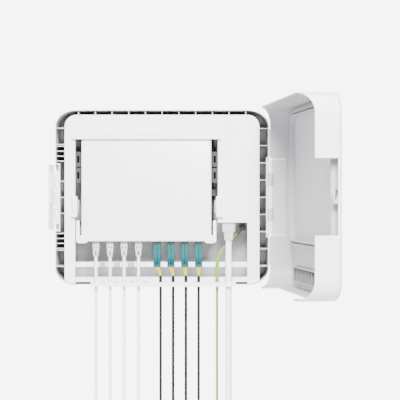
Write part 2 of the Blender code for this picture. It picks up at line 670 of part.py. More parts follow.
def make_power(shell, dark):
    bm = bmesh.new()
    add_prism(bm, rounded(PSU_LEFT, PSU_RIGHT, PSU_BOTTOM, PSU_TOP, 0.003, 0.003, steps=3), PSU_FRONT, PSU_BACK)
    supply = piece("power_supply", bm, shell)
    bm = bmesh.new()
    half = POWER_PLUG_WIDTH / 2 + INLET_MARGIN
    add_box(bm, POWER_X - half, POWER_X + half, PSU_FRONT + 0.0005, LEAD_Y + 0.0095, INLET_FACE,
            PSU_BOTTOM + 0.001)
    join(supply, bm)
    bm = bmesh.new()
    add_box(bm, SWITCH_RIGHT - SWITCH_WALL, PSU_LEFT - GAP, DC_FRONT, DC_BACK, DC_BOTTOM, DC_TOP)
    piece("supply_link", bm, dark)


# Leads --------------------------------------------------------------------------------------------------------

def smooth_route(route, spacing):
    """Evenly spaced points on a smooth curve that passes through the route's own points."""
    points = [Vector(p) for p in route]
    points = [points[0] * 2 - points[1]] + points + [points[-1] * 2 - points[-2]]
    dense = []
    for a, b, c, d in zip(points, points[1:], points[2:], points[3:]):
        for i in range(16):
            t = i / 16
            dense.append(0.5 * (2 * b + (c - a) * t + (2 * a - 5 * b + 4 * c - d) * t * t
                                + (3 * b - a - 3 * c + d) * t ** 3))
    dense.append(points[-2])
    lengths = [0.0]
    for p, q in zip(dense, dense[1:]):
        lengths.append(lengths[-1] + (q - p).length)
    count = max(3, round(lengths[-1] / spacing))
    even = []
    place = 0
    for i in range(count + 1):
        wanted = lengths[-1] * i / count
        while place < len(lengths) - 2 and lengths[place + 1] < wanted:
            place += 1
        share = (wanted - lengths[place]) / (lengths[place + 1] - lengths[place])
        even.append(dense[place].lerp(dense[place + 1], share))
    return even


def make_cord(name, route, diameter, look):
    points = smooth_route(route, diameter * 3)
    curve = bpy.data.curves.new(name, "CURVE")
    curve.dimensions = "3D"
    curve.bevel_depth = diameter / 2
    curve.bevel_resolution = 2
    curve.use_fill_caps = True
    spline = curve.splines.new("POLY")
    spline.points.add(len(points) - 1)
    for target, point in zip(spline.points, points):
        target.co = (*point, 1.0)
    made = bpy.data.objects.new(name, curve)
    made.data.materials.append(look)
    bpy.context.collection.objects.link(made)


def add_block(bm, x, z0, z1, wide0, wide1, thick0, thick1):
    """A tapered block round a lead's centre line, its first sizes at its upper end."""
    corners = ((-1, -1), (1, -1), (1, 1), (-1, 1))
    upper = [bm.verts.new((x + sx * wide0 / 2, LEAD_Y + sy * thick0 / 2, z0)) for sx, sy in corners]
    lower = [bm.verts.new((x + sx * wide1 / 2, LEAD_Y + sy * thick1 / 2, z1)) for sx, sy in corners]
    bm.faces.new(upper)
    bm.faces.new(lower)
    for i in range(4):
        j = (i + 1) % 4
        bm.faces.new((upper[i], upper[j], lower[j], lower[i]))


def make_tapered(name, x, sections, look):
    """Blocks stacked along a lead and joined; each section is (top, bottom, wide, wide, thick, thick)."""
    bm = bmesh.new()
    add_block(bm, x, *sections[0])
    made = piece(name, bm, look)
    for section in sections[1:]:
        bm = bmesh.new()
        add_block(bm, x, *section)
        join(made, bm)
    return made


def make_ethernet_leads(cable, plastic):
    for number, (x, route) in enumerate(zip(ETHERNET_X, ETHERNET_ROUTES), 1):
        make_tapered(f"ethernet_plug_{number}", x, [
            (SWITCH_BOTTOM + PLUG_DEPTH, PLUG_BODY_END, PLUG_WIDTH, PLUG_WIDTH, PLUG_THICKNESS,
             PLUG_THICKNESS),
            (PLUG_BODY_END + 0.001, BOOT_END, BOOT_WIDE, BOOT_NARROW, BOOT_THICK, BOOT_THIN)], plastic)
        make_cord(f"ethernet_cable_{number}", route, ETHERNET_DIAMETER, cable)
        end = route[-1][2] - GAP
        make_tapered(f"ethernet_end_plug_{number}", x, [
            (end, end - 0.014, BOOT_NARROW, BOOT_WIDE, BOOT_THIN, BOOT_THICK),
            (end - 0.013, end - 0.035, PLUG_WIDTH, PLUG_WIDTH, PLUG_THICKNESS, PLUG_THICKNESS)], plastic)


def make_fibre_leads(cable, plastic, metal):
    module_face = SWITCH_BOTTOM - MODULE_OUT
    leg = LEG_DIAMETER / 2
    for number, (x, hang, route) in enumerate(zip(FIBRE_X, FIBRE_HANG_X, FIBRE_ROUTES), 1):
        make_tapered(f"sfp_module_{number}", x, [
            (SWITCH_BOTTOM + MODULE_DEPTH, module_face, MODULE_WIDTH, MODULE_WIDTH, MODULE_THICKNESS,
             MODULE_THICKNESS)], metal)
        connector = make_tapered(f"fibre_connector_{number}", x, [
            (module_face - GAP, DUPLEX_END, DUPLEX_WIDTH, DUPLEX_WIDTH, DUPLEX_THICKNESS,
             DUPLEX_THICKNESS)], plastic)
        for side in (-1, 1):
            bm = bmesh.new()
            top = (x + side * LEG_SPREAD_HIGH, LEAD_Y, DUPLEX_END + 0.002)
            low = (hang + side * LEG_SPREAD_LOW, LEAD_Y, JACKET_START + LEG_DIAMETER / 5)
            add_rod(bm, top, low, leg, sides=10)
            join(connector, bm)
        make_cord(f"fibre_cable_{number}", route, FIBRE_DIAMETER, cable)
        end = route[-1][2] - GAP
        make_tapered(f"fibre_end_connector_{number}", hang, [
            (end, end - 0.014, 0.0056, 0.0056, 0.0056, 0.0056),
            (end - 0.013, end - 0.045, DUPLEX_WIDTH, DUPLEX_WIDTH, DUPLEX_THICKNESS,
             DUPLEX_THICKNESS)], plastic)


def make_power_lead(cable, plastic):
    make_tapered("power_connector", POWER_X, [
        (INLET_FACE - GAP, -0.059, POWER_PLUG_WIDTH, POWER_PLUG_WIDTH, POWER_PLUG_THICKNESS,
         POWER_PLUG_THICKNESS),
        (-0.058, STRAIN_END, 0.014, 0.0125, 0.0135, 0.0125)], plastic)
    make_cord("power_cord", POWER_ROUTE, POWER_DIAMETER, cable)
    end = POWER_ROUTE[-1][2] - GAP
    make_tapered("power_end_plug", POWER_X, [
        (end, end - 0.018, 0.0125, 0.016, 0.0125, 0.014),
        (end - 0.017, end - 0.048, 0.024, 0.024, 0.018, 0.018)], plastic)


def make_lug(name, bm, x, y, z, metal):
    """An eye round a bore, joined to the barrel that is already in the bmesh."""
    lug = piece(name, bm, metal)
    bm = bmesh.new()
    add_rod(bm, (x, y - LUG_SHEET / 2, z), (x, y + LUG_SHEET / 2, z), LUG_RADIUS, sides=20)
    join(lug, bm)
    bm = bmesh.new()
    add_rod(bm, (x, y - 0.01, z), (x, y + 0.01, z), SCREW_RADIUS + GAP)
    cut(lug, bm)


def make_earth_lead(sleeve, metal):
    x, z, y = EARTH_POST_X, EARTH_POST_Z, EARTH_LUG_Y
    head = y - LUG_SHEET / 2 - GAP
    bm = bmesh.new()
    add_rod(bm, (x, head, z), (x, head - 0.003, z), SCREW_HEAD, sides=6)
    screw = piece("earth_screw", bm, metal)
    bm = bmesh.new()
    add_rod(bm, (x, head - 0.001, z), (x, EARTH_POST_Y + 0.007, z), SCREW_RADIUS)
    join(screw, bm)

    start = Vector(EARTH_ROUTE[0])
    toward = (start - Vector((x, y, z))).normalized()
    bm = bmesh.new()
    barrel_start = Vector((x, y, z)) + toward * EARTH_BARREL_START
    add_rod(bm, barrel_start, start - toward * GAP, BARREL_THIN, BARREL_THICK, 12)
    make_lug("earth_lug", bm, x, y, z, metal)
    make_cord("earth_wire", EARTH_ROUTE, EARTH_DIAMETER, sleeve)

    end = EARTH_ROUTE[-1][2] - GAP
    bm = bmesh.new()
    add_rod(bm, (EARTH_X, LEAD_Y, end), (EARTH_X, LEAD_Y, end - 0.009), BARREL_THICK, BARREL_THIN, 12)
    make_lug("earth_end_lug", bm, EARTH_X, LEAD_Y, end - 0.0130, metal)


def lead_slots(upper):
    """Each slot in a comb as (centre, half width, half depth)."""
    slots = []
    spare = SLOT_CLEARANCE + ETHERNET_DIAMETER / 2
    half_pitch = (ETHERNET_X[-1] - ETHERNET_X[0]) / (2 * (len(ETHERNET_X) - 1))
    for i in range(2 * len(ETHERNET_X)):
        slots.append((ETHERNET_X[0] + i * half_pitch, spare, spare))
    for connector, hang in zip(FIBRE_X, FIBRE_HANG_X):
        if upper:
            slots.append((connector, DUPLEX_WIDTH / 2 + 0.0006, DUPLEX_THICKNESS / 2 + 0.0006))
        else:
            half = FIBRE_DIAMETER / 2 + SLOT_CLEARANCE
            slots.append((hang, half, half))
    slots.append((EARTH_X, EARTH_DIAMETER / 2 + 0.001, EARTH_DIAMETER / 2 + 0.001))
    slots.append((POWER_X, POWER_DIAMETER / 2 + 0.001, POWER_DIAMETER / 2 + 0.001))
    return slots


def make_combs(look):
    side = PANEL_SIDE - PANEL_SHEET - GAP
    for name, z, side, upper in (("upper_comb", UPPER_COMB_Z, side, True),
                                 ("lower_comb", LOWER_COMB_Z, side - LOWER_COMB_INSET, False)):
        bm = bmesh.new()
        add_box(bm, -side, side, COMB_FRONT, COMB_FRONT + COMB_DEPTH, z - COMB_HEIGHT / 2, z + COMB_HEIGHT / 2)
        comb = piece(name, bm, look)
        bm = bmesh.new()
        for x, half, deep in lead_slots(upper):
            add_box(bm, x - half, x + half, COMB_FRONT - 0.01, LEAD_Y + deep, z - 0.01, z + 0.01)
        cut(comb, bm)
    bm = bmesh.new()
    top = LOWER_COMB_Z - COMB_HEIGHT / 2 - GAP
    add_prism(bm, rounded(CLAMP_LEFT, CLAMP_RIGHT, top - CLAMP_HEIGHT, top, 0.002, 0.002, steps=3),
              PANEL_FRONT - CLAMP_PROUD, LEAD_Y - POWER_DIAMETER / 2 - 0.0008)
    piece("clamp_bar", bm, look)


# Cover, hinge and latch, drawn with the cover closed ----------------------------------------------------------

def from_axis(x, depth):
    """A closed-cover position, as a place beside the hinge axis: depth counts forward from the cover's rim."""
    return x - HINGE_X, -depth


def cover_outline(inset):
    left, right = COVER_LEFT - HINGE_X + inset, COVER_RIGHT - HINGE_X - inset
    return rounded(left, right, -COVER_TOP + inset, COVER_TOP - inset, CORNER_X + COVER_MARGIN_X - inset,
                   CORNER_Z + COVER_MARGIN_Z + 0.0005 - inset)


def hood_reach(z):
    """How far the rim reaches back at a height: nothing beside the housing, all of it above and below."""
    past = (abs(z) - HOOD_START) / (HALF_HEIGHT + 0.001 - HOOD_START)
    if past <= 0:
        return 0.0
    if past >= 1:
        return COVER_HOOD
    return COVER_HOOD * (1 - math.sqrt(1 - past * past))


def make_cover(look, seal_look, leaf_look, hinge):
    bm = bmesh.new()
    add_prism(bm, cover_outline(0), -COVER_DEPTH, COVER_HOOD)
    edges = [e for e in bm.edges if all(abs(v.co.y + COVER_DEPTH) < 1e-6 for v in e.verts)]
    bmesh.ops.bevel(bm, geom=edges, offset=COVER_EDGE, segments=3, affect="EDGES", profile=0.5, material=-1)
    cover = piece("front_cover", bm, look, hinge)

    bm = bmesh.new()
    add_prism(bm, cover_outline(COVER_WALL), -COVER_DEPTH + COVER_WALL, COVER_HOOD + 0.01)
    edges = [e for e in bm.edges if all(abs(v.co.y + COVER_DEPTH - COVER_WALL) < 1e-6 for v in e.verts)]
    bmesh.ops.bevel(bm, geom=edges, offset=COVER_EDGE - COVER_WALL, segments=3, affect="EDGES", profile=0.5,
                    material=-1)
    cut(cover, bm)

    bm = bmesh.new()
    steps = 10
    curve = []
    for i in range(steps + 1):
        z = HOOD_START + (HALF_HEIGHT + 0.001 - HOOD_START) * math.sin(math.pi / 2 * i / steps)
        curve.append((z, hood_reach(z)))
    curve.append((COVER_TOP + 0.01, COVER_HOOD))
    curve.append((COVER_TOP + 0.01, COVER_HOOD + 0.02))
    profile = [(z, y) for z, y in curve] + [(-z, y) for z, y in reversed(curve)]
    left = COVER_LEFT - HINGE_X - 0.01
    verts = [bm.verts.new((left, y, z)) for z, y in profile]
    face = bm.faces.new(verts)
    moved = bmesh.ops.extrude_face_region(bm, geom=[face])["geom"]
    width = COVER_RIGHT - COVER_LEFT + 0.02
    bmesh.ops.translate(bm, vec=(width, 0, 0), verts=[g for g in moved if isinstance(g, bmesh.types.BMVert)])
    cut(cover, bm)

    bm = bmesh.new()
    left, _ = from_axis(COVER_LEFT, 0)
    right, _ = from_axis(COVER_RIGHT, 0)
    notch = LATCH_HALF + 0.0005
    low_left, _ = from_axis(CLAMP_LEFT - LEAD_NOTCH_MARGIN, 0)
    low_right, _ = from_axis(CLAMP_RIGHT + LEAD_NOTCH_MARGIN, 0)
    add_box(bm, low_left, low_right, -LEAD_NOTCH_DEPTH, COVER_HOOD + 0.01, -COVER_TOP - 0.01,
            -COVER_TOP + COVER_WALL + 0.002)
    add_box(bm, left - 0.01, left + COVER_WALL + 0.001, -NOTCH_DEPTH, 0.01, -notch, notch)
    add_box(bm, right - COVER_WALL - 0.001, right + 0.01, -HINGE_LEAF_DEPTH, 0.01, -HINGE_NOTCH, HINGE_NOTCH)
    cut(cover, bm)

    add_seal_ridges(cover)
    add_cover_ribs(cover)
    make_cover_seal(seal_look, hinge)
    make_hinge_leaf(leaf_look, hinge)


def seal_outline(inset):
    return rounded(-SEAL_HALF_WIDTH - HINGE_X + inset, SEAL_HALF_WIDTH - HINGE_X - inset, SEAL_BOTTOM + inset,
                   SEAL_TOP - inset, SEAL_RADIUS - inset, SEAL_RADIUS - inset, "tr tl bl br", 5)


def add_ring(bm, outline, inner, y0, y1):
    """A closed ring between two outlines with the same number of points."""
    loops = [[bm.verts.new((x, y, z)) for x, z in points] for points, y in
             ((outline, y0), (outline, y1), (inner, y1), (inner, y0))]
    count = len(outline)
    for a, b in zip(loops, loops[1:] + loops[:1]):
        for i in range(count):
            j = (i + 1) % count
            bm.faces.new((a[i], a[j], b[j], b[i]))


def add_seal_ridges(cover):
    top = -COVER_DEPTH + COVER_WALL + SEAL_RIDGE
    base = -COVER_DEPTH + COVER_WALL / 2
    bm = bmesh.new()
    add_ring(bm, seal_outline(0), seal_outline(SEAL_WALL), base, top)
    far = SEAL_WALL + SEAL_GROOVE
    add_ring(bm, seal_outline(far), seal_outline(far + SEAL_WALL), base, top)
    x = COVER_LEFT - HINGE_X + 0.0045
    depth = -COVER_DEPTH + COVER_WALL
    add_box(bm, x, x + CATCH_SHEET, depth - 0.001, -CATCH_DEPTH, -CATCH_HALF, CATCH_HALF)
    join(cover, bm)
    bm = bmesh.new()
    add_box(bm, x - CATCH_REACH, x + 0.001, -CATCH_DEPTH - 0.0025, -CATCH_DEPTH - 0.0001, -CATCH_HALF + 0.0001,
            CATCH_HALF - 0.0001)
    join(cover, bm)


def make_cover_seal(look, hinge):
    bm = bmesh.new()
    inset = SEAL_WALL + GAP
    base = -COVER_DEPTH + COVER_WALL + GAP
    add_ring(bm, seal_outline(inset), seal_outline(SEAL_WALL + SEAL_GROOVE - GAP), base, base + SEAL_THICKNESS)
    piece("cover_seal", bm, look, hinge)


def add_cover_ribs(cover):
    """The ribbed band near the cover's lower edge, opposite the combs."""
    bm = bmesh.new()
    front = -COVER_DEPTH + COVER_WALL - 0.001
    for z0, z1 in ((BAND_TOP - SEAL_WALL, BAND_TOP), (BAND_BOTTOM, BAND_BOTTOM + SEAL_WALL)):
        add_box(bm, -BAND_HALF - HINGE_X, BAND_HALF - HINGE_X, front, front + BAND_RISE, z0, z1)
    join(cover, bm)
    bm = bmesh.new()
    for i in range(BAND_RIBS):
        x = -HINGE_X + (i - (BAND_RIBS - 1) / 2) * BAND_PITCH
        add_box(bm, x - SEAL_WALL / 2, x + SEAL_WALL / 2, front, front + BAND_RISE - 0.0005,
                BAND_BOTTOM + 0.0005, BAND_TOP - 0.0005)
    join(cover, bm)


def make_hinge_leaf(look, hinge):
    """The leaf that fills the cover's notch, with its knuckles on the axis."""
    x1 = COVER_RIGHT - HINGE_X
    x0 = x1 - COVER_WALL
    start = KNUCKLE_RADIUS + 0.0006
    bm = bmesh.new()
    add_box(bm, x0, x1, -HINGE_LEAF_DEPTH + GAP, -start, -HINGE_NOTCH + GAP, HINGE_NOTCH - GAP)
    leaf = piece("hinge_leaf", bm, look, hinge)
    for z0, z1 in LEAF_KNUCKLES:
        bm = bmesh.new()
        add_rod(bm, (0, 0, z0), (0, 0, z1), KNUCKLE_RADIUS, sides=20)
        join(leaf, bm)
        bm = bmesh.new()
        add_box(bm, x0 - 0.0012, x1 - 0.0003, -start - 0.001, -0.0005, z0 + 0.0001, z1 - 0.0001)
        join(leaf, bm)
    bm = bmesh.new()
    add_rod(bm, (0, 0, -HINGE_NOTCH), (0, 0, HINGE_NOTCH), PIN_RADIUS + GAP)
    cut(leaf, bm)


def make_hinge_bracket(look, pin_look):
    """The housing's half of the hinge, a plate in the side recess, and the pin through both halves."""
    wall = HINGE_WALL
    bm = bmesh.new()
    plate_front = HINGE_Y + KNUCKLE_RADIUS + GAP
    add_box(bm, wall + GAP, wall + GAP + 0.0022, plate_front, HINGE_Y + KNUCKLE_RADIUS + 0.0077,
            -HINGE_NOTCH + 0.001, HINGE_NOTCH - 0.001)
    bracket = piece("hinge_bracket", bm, look)
    for z0, z1 in BRACKET_KNUCKLES:
        bm = bmesh.new()
        add_rod(bm, (HINGE_X, HINGE_Y, z0), (HINGE_X, HINGE_Y, z1), KNUCKLE_RADIUS, sides=20)
        join(bracket, bm)
        bm = bmesh.new()
        add_box(bm, wall + GAP + 0.0001, HINGE_X + 0.001, HINGE_Y + 0.0005, plate_front + 0.002, z0 + 0.0001,
                z1 - 0.0001)
        join(bracket, bm)
    bm = bmesh.new()
    add_rod(bm, (HINGE_X, HINGE_Y, -HINGE_NOTCH), (HINGE_X, HINGE_Y, HINGE_NOTCH), PIN_RADIUS + GAP)
    cut(bracket, bm)
    bm = bmesh.new()
    add_rod(bm, (HINGE_X, HINGE_Y, -HINGE_PIN_HALF), (HINGE_X, HINGE_Y, HINGE_PIN_HALF), PIN_RADIUS)
    piece("hinge_pin", bm, pin_look)


def make_latch(look, pin_look, hinge):
    """The latch lever about its pin; drawn along -Y and tilted out by its empty."""
    outer = COVER_LEFT - PIVOT_X
    inner = outer + LATCH_SHEET
    start = LATCH_BARREL + 0.001
    tip = PIVOT_Y - HINGE_Y + NOTCH_DEPTH - 0.0008
    bm = bmesh.new()
    add_box(bm, outer, inner, -tip, -start, -LATCH_HALF, LATCH_HALF)
    lever = piece("latch_lever", bm, look, hinge)
    for z in LATCH_BARREL_Z:
        bm = bmesh.new()
        add_rod(bm, (0, 0, z - LATCH_BARREL_HALF), (0, 0, z + LATCH_BARREL_HALF), LATCH_BARREL, sides=20)
        join(lever, bm)
        bm = bmesh.new()
        add_profile(bm, [(-0.0012, -0.002), (outer + 0.0004, -start - 0.004), (inner, -start - 0.008),
                         (0.0022, -0.0015)], z - LATCH_BARREL_HALF + 0.0003, z + LATCH_BARREL_HALF - 0.0003)
        join(lever, bm)
    bm = bmesh.new()
    tooth_y = -(PIVOT_Y - HINGE_Y + CATCH_DEPTH + 0.0032)
    add_box(bm, inner - 0.001, inner + LATCH_TOOTH, tooth_y - LATCH_TOOTH, tooth_y, -TOOTH_HALF, TOOTH_HALF)
    join(lever, bm)
    bm = bmesh.new()
    add_rod(bm, (0, 0, -LATCH_HALF), (0, 0, LATCH_HALF), PIN_RADIUS + GAP)
    cut(lever, bm)
    bm = bmesh.new()
    add_rod(bm, (PIVOT_X, PIVOT_Y, -LATCH_HALF + 0.0065), (PIVOT_X, PIVOT_Y, LATCH_HALF - 0.0065), PIN_RADIUS)
    piece("latch_pin", bm, pin_look)


def main():
    clear_scene()
    white = material("white_plastic", (0.82, 0.82, 0.83), 0.45)
    panel = material("panel_white", (0.78, 0.78, 0.79), 0.5)
    grey = material("support_grey", (0.45, 0.45, 0.46), 0.55)
    dark = material("socket_black", (0.03, 0.03, 0.035), 0.6)
    rubber = material("seal_rubber", (0.30, 0.30, 0.31), 0.85)
    steel = material("zinc_steel", (0.55, 0.55, 0.56), 0.35, 1.0)
    board = material("circuit_green", (0.03, 0.16, 0.07), 0.55)
    copper = material("tinned_copper", (0.62, 0.50, 0.40), 0.35, 1.0)
    white_cable = material("white_cable", (0.80, 0.80, 0.80), 0.5)
    black_cable = material("black_cable", (0.035, 0.035, 0.037), 0.55)
    clear_plug = material("plug_plastic", (0.74, 0.76, 0.78), 0.3)
    teal = material("teal_plastic", (0.05, 0.36, 0.36), 0.4)
    earth = material("earth_sleeve", (0.45, 0.62, 0.08), 0.5)

    make_bracket(steel)
    make_rear_housing(white)
    make_inner_panel(panel)
    make_top_rail(white)
    make_cradle(grey)
    make_support(white)
    make_release_clips(white)
    make_switch(white, board, steel, dark)
    make_power(grey, dark)
    make_combs(panel)
    make_ethernet_leads(white_cable, clear_plug)
    make_fibre_leads(black_cable, teal, steel)
    make_power_lead(white_cable, white)
    make_earth_lead(earth, copper)
    make_hinge_bracket(white, steel)
    make_cover(white, rubber, white, pivot("cover_axis", HINGE_X, HINGE_Y, OPEN_ANGLE))
    make_latch(white, steel, pivot("latch_axis", PIVOT_X, PIVOT_Y, -LATCH_TILT))


main()
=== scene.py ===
# %% [markdown]
# # A termination box on a wall or pole, with its cover open
#
# The box is a moulded housing with a hinged cover. Inside sits a network switch, and copper, fibre, mains and
# earth leads hang from it through two combs. The frame already holds every part at its true size, so this
# script only gives the parts their moulded edges, their small details and their finishes.

# %% Load the frame
import json
import math

import bmesh
import bpy
from mathutils import Matrix, Vector

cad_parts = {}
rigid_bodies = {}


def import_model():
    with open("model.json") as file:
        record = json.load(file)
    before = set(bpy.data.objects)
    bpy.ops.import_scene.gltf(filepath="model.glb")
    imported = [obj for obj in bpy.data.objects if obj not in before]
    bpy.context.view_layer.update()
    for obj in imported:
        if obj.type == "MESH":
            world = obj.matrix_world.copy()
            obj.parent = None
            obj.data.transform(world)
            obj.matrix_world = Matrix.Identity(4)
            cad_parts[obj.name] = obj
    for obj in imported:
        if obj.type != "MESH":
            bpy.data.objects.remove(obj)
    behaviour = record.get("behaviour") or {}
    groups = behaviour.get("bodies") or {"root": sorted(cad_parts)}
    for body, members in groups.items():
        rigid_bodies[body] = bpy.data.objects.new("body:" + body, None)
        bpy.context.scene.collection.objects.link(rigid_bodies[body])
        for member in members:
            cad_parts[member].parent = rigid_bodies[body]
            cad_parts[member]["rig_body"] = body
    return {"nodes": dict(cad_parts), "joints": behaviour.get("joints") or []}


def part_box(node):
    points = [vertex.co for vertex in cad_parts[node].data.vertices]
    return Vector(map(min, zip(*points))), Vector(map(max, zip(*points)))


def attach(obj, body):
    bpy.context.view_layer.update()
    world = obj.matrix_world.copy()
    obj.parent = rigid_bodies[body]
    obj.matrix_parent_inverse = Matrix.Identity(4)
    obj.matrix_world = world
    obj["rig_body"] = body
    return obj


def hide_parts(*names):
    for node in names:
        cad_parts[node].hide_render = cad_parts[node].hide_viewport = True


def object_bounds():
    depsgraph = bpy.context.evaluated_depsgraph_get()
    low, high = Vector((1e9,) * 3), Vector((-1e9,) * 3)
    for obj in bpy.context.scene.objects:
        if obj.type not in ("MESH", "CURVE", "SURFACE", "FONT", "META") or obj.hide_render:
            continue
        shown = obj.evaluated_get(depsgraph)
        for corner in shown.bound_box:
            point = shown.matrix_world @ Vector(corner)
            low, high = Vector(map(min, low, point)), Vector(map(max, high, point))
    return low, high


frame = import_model()
cad_low, cad_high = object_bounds()
MM = 0.001
print("frame box in mm:", [round(v / MM, 1) for v in cad_high - cad_low])

# %% [markdown]
# ## Where everything is
#
# Places come from the frame's own boxes. Naming them once keeps the rest of the script free of bare numbers:
# the panel's front face, the line that the leads hang on, and the hinge's axis are used again and again.

# %% Reference places
panel_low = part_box("inner_panel")[0]
switch_low, switch_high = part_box("switch_cover")
housing_low, housing_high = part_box("rear_housing")
PANEL_FRONT = panel_low.y
LEAD_Y = PANEL_FRONT + 12.0 * MM
JOINTS = {joint["name"]: joint for joint in frame["joints"]}
HINGE = Vector(JOINTS["cover_hinge"]["pos_m"])
OPEN_ANGLE = -JOINTS["cover_hinge"]["range_deg"][0]
print("panel front at", round(PANEL_FRONT, 4), "and cover open by", OPEN_ANGLE, "degrees")

# %% [markdown]
# ## The camera
#
# A long lens a little over two metres away keeps the box nearly square-on, and still shows the inside of the
# cover at the right. The camera is level, so upright edges stay upright.

# %% Camera
CAMERA_DISTANCE = 2.243
CAMERA_X = 62.7 * MM
CAMERA_Z = -4.5 * MM
MM_PER_STEP = 1.65                 # width that one four-hundredth of the frame covers at the panel
SENSOR = 36.0

camera_data = bpy.data.cameras.new("camera")
camera_data.sensor_width = SENSOR
camera_data.lens = SENSOR * CAMERA_DISTANCE / (400 * MM_PER_STEP * MM)
camera = bpy.data.objects.new("camera", camera_data)
camera.location = (CAMERA_X, PANEL_FRONT - CAMERA_DISTANCE, CAMERA_Z)
camera.rotation_euler = (math.radians(90), 0, 0)
bpy.context.scene.collection.objects.link(camera)
bpy.context.scene.camera = camera
print("lens in mm:", round(camera_data.lens, 1))

# %% [markdown]
# ## Shader maths as Python
#
# A material's pattern is easier to read as an expression than as a list of nodes. The class below wraps an
# output socket, so `noise * 0.2 + 0.4` adds the Math nodes for us. Every other node comes from one method,
# `node`, which takes the node's type, its settings and what goes into its sockets.

# %% Socket class
class Pattern:
    """An output socket that can be used in arithmetic."""

    def __init__(self, finish, socket):
        self.finish = finish
        self.socket = socket

    def maths(self, operation, *values):
        return self.finish.node("ShaderNodeMath", {"operation": operation}, values)

    def __add__(self, other):
        return self.maths("ADD", self, other)

    def __sub__(self, other):
        return self.maths("SUBTRACT", self, other)

    def __mul__(self, other):
        return self.maths("MULTIPLY", self, other)

    def __gt__(self, other):
        return self.maths("GREATER_THAN", self, other)

    def __lt__(self, other):
        return self.maths("LESS_THAN", self, other)

    def wave(self):
        return self.maths("SINE", self)

    def size(self):
        return self.maths("ABSOLUTE", self)

    def at_least(self, other):
        return self.maths("MAXIMUM", self, other)

    def clamp(self):
        return self.maths("MINIMUM", self, 1.0).at_least(0.0)


class Finish:
    """A material under construction, round one Principled BSDF."""

    def __init__(self, name, roughness, metallic=0.0, **fixed):
        self.material = bpy.data.materials.new(name)
        self.material.use_nodes = True
        self.tree = self.material.node_tree
        self.shader = self.tree.nodes["Principled BSDF"]
        self.shader.inputs["Roughness"].default_value = roughness
        self.shader.inputs["Metallic"].default_value = metallic
        for socket, value in fixed.items():
            self.shader.inputs[socket.replace("_", " ")].default_value = value

    def node(self, kind, settings=None, values=(), output=0):
        made = self.tree.nodes.new(kind)
        for name, value in (settings or {}).items():
            setattr(made, name, value)
        pairs = values.items() if isinstance(values, dict) else enumerate(values)
        for key, value in pairs:
            if isinstance(value, Pattern):
                self.tree.links.new(value.socket, made.inputs[key])
            else:
                made.inputs[key].default_value = value
        return Pattern(self, made.outputs[output])

    def place(self):
        return self.node("ShaderNodeTexCoord", output="Object")

    def along(self):
        """The piece's own UV map, as (along, around) on a cord."""
        return self.node("ShaderNodeTexCoord", output="UV")

    def part(self, vector, axis):
        return self.node("ShaderNodeSeparateXYZ", None, [vector], output=axis)

    def noise(self, size, detail=3.0, vector=None, stretch=(1, 1, 1)):
        spread = self.node("ShaderNodeMapping", None, {"Vector": vector or self.place(), "Scale": stretch})
        return self.node("ShaderNodeTexNoise", None, {"Vector": spread, "Scale": 1 / size, "Detail": detail})

    def mix(self, amount, first, second):
        return self.node("ShaderNodeMix", {"data_type": "RGBA"},
                         {"Factor": amount, 6: colour(first), 7: colour(second)}, output=2)

    def feed(self, socket, pattern):
        self.tree.links.new(pattern.socket, self.shader.inputs[socket])

    def bump(self, height, depth, strength=1.0):
        raised = self.node("ShaderNodeBump", None,
                           {"Height": height, "Distance": depth, "Strength": strength})
        self.feed("Normal", raised)


def colour(value):
    return value if isinstance(value, Pattern) else (*value, 1.0)


def shade(base, share):
    return tuple(channel * share for channel in base)


# %% [markdown]
# ## Moulded plastic
#
# An outdoor box is injection moulded in a tool with a spark-eroded surface, so it has a fine even grain rather
# than a gloss. Two layers of noise give it: a fine one for the grain, which goes into the bump, and a broad
# faint one, which shifts the colour and the sheen a little, as weather and handling do. The housing and the
# cover also get painted shade: grey mixed into their colour inside, where shade falls.

# %% Plastic finishes
def moulded(name, base, roughness, grain=0.00035, depth=0.00002, painted_shade=None, **fixed):
    """A moulded plastic; a function may be given that returns the share and the grey of a painted shade."""
    finish = Finish(name, roughness, **fixed)
    fine = finish.noise(grain, 2.0)
    broad = finish.noise(0.06, 2.0)
    tint = finish.mix((broad * 1.6 - 0.3).clamp(), base, shade(base, 0.955))
    # painted shade: mixes in a grey that stands in for the shade inside the housing and the cover
    if painted_shade:
        share, inner = painted_shade(finish)
        tint = finish.mix(share, tint, inner)
    finish.feed("Base Color", tint)
    finish.feed("Roughness", fine * 0.12 + broad * 0.08 + (roughness - 0.10))
    finish.bump(fine, depth)
    return finish.material


def past_corner(finish, place, axis, centre, straight, radius):
    """How far a point is into the rounded end of a side, as a share of the corner's radius."""
    across = (finish.part(place, axis) - centre).size()
    return ((across - straight) * (1 / radius)).at_least(0.0)


def within(finish, place, size, corner, wall, centre_x=0.0):
    """One inside a rounded rectangle that lies a wall's thickness within the moulding's outline."""
    x = past_corner(finish, place, "X", centre_x, size[0] / 2 - corner[0], corner[0] - wall)
    z = past_corner(finish, place, "Z", 0.0, size[1] / 2 - corner[1], corner[1] - wall)
    return x * x + z * z < 1.0


# The housing's painted shade: grey inside the rim, deeper than the rim and on the wall's inner face.
HOUSING_SIZE = (-2 * housing_low.x, housing_high.z - housing_low.z)
HOUSING_CORNER = (35 * MM, 28 * MM)
WHITE_EDGE = 0.8 * MM              # the outer part of the rim, which stays white
CHANNEL_EDGE = 2.2 * MM            # where the channel inside the wall begins
RIM_DEPTH = 0.6 * MM
SHADE_START = 3.0 * MM             # behind the rim; full after the fade
SHADE_FADE = 2.5 * MM
PAINTED_SHADE_SHARE = 0.9
# painted shade: the grey that stands in for the shade deep in the housing and in its channel
HOUSING_PAINTED_SHADE = (0.40, 0.40, 0.41)


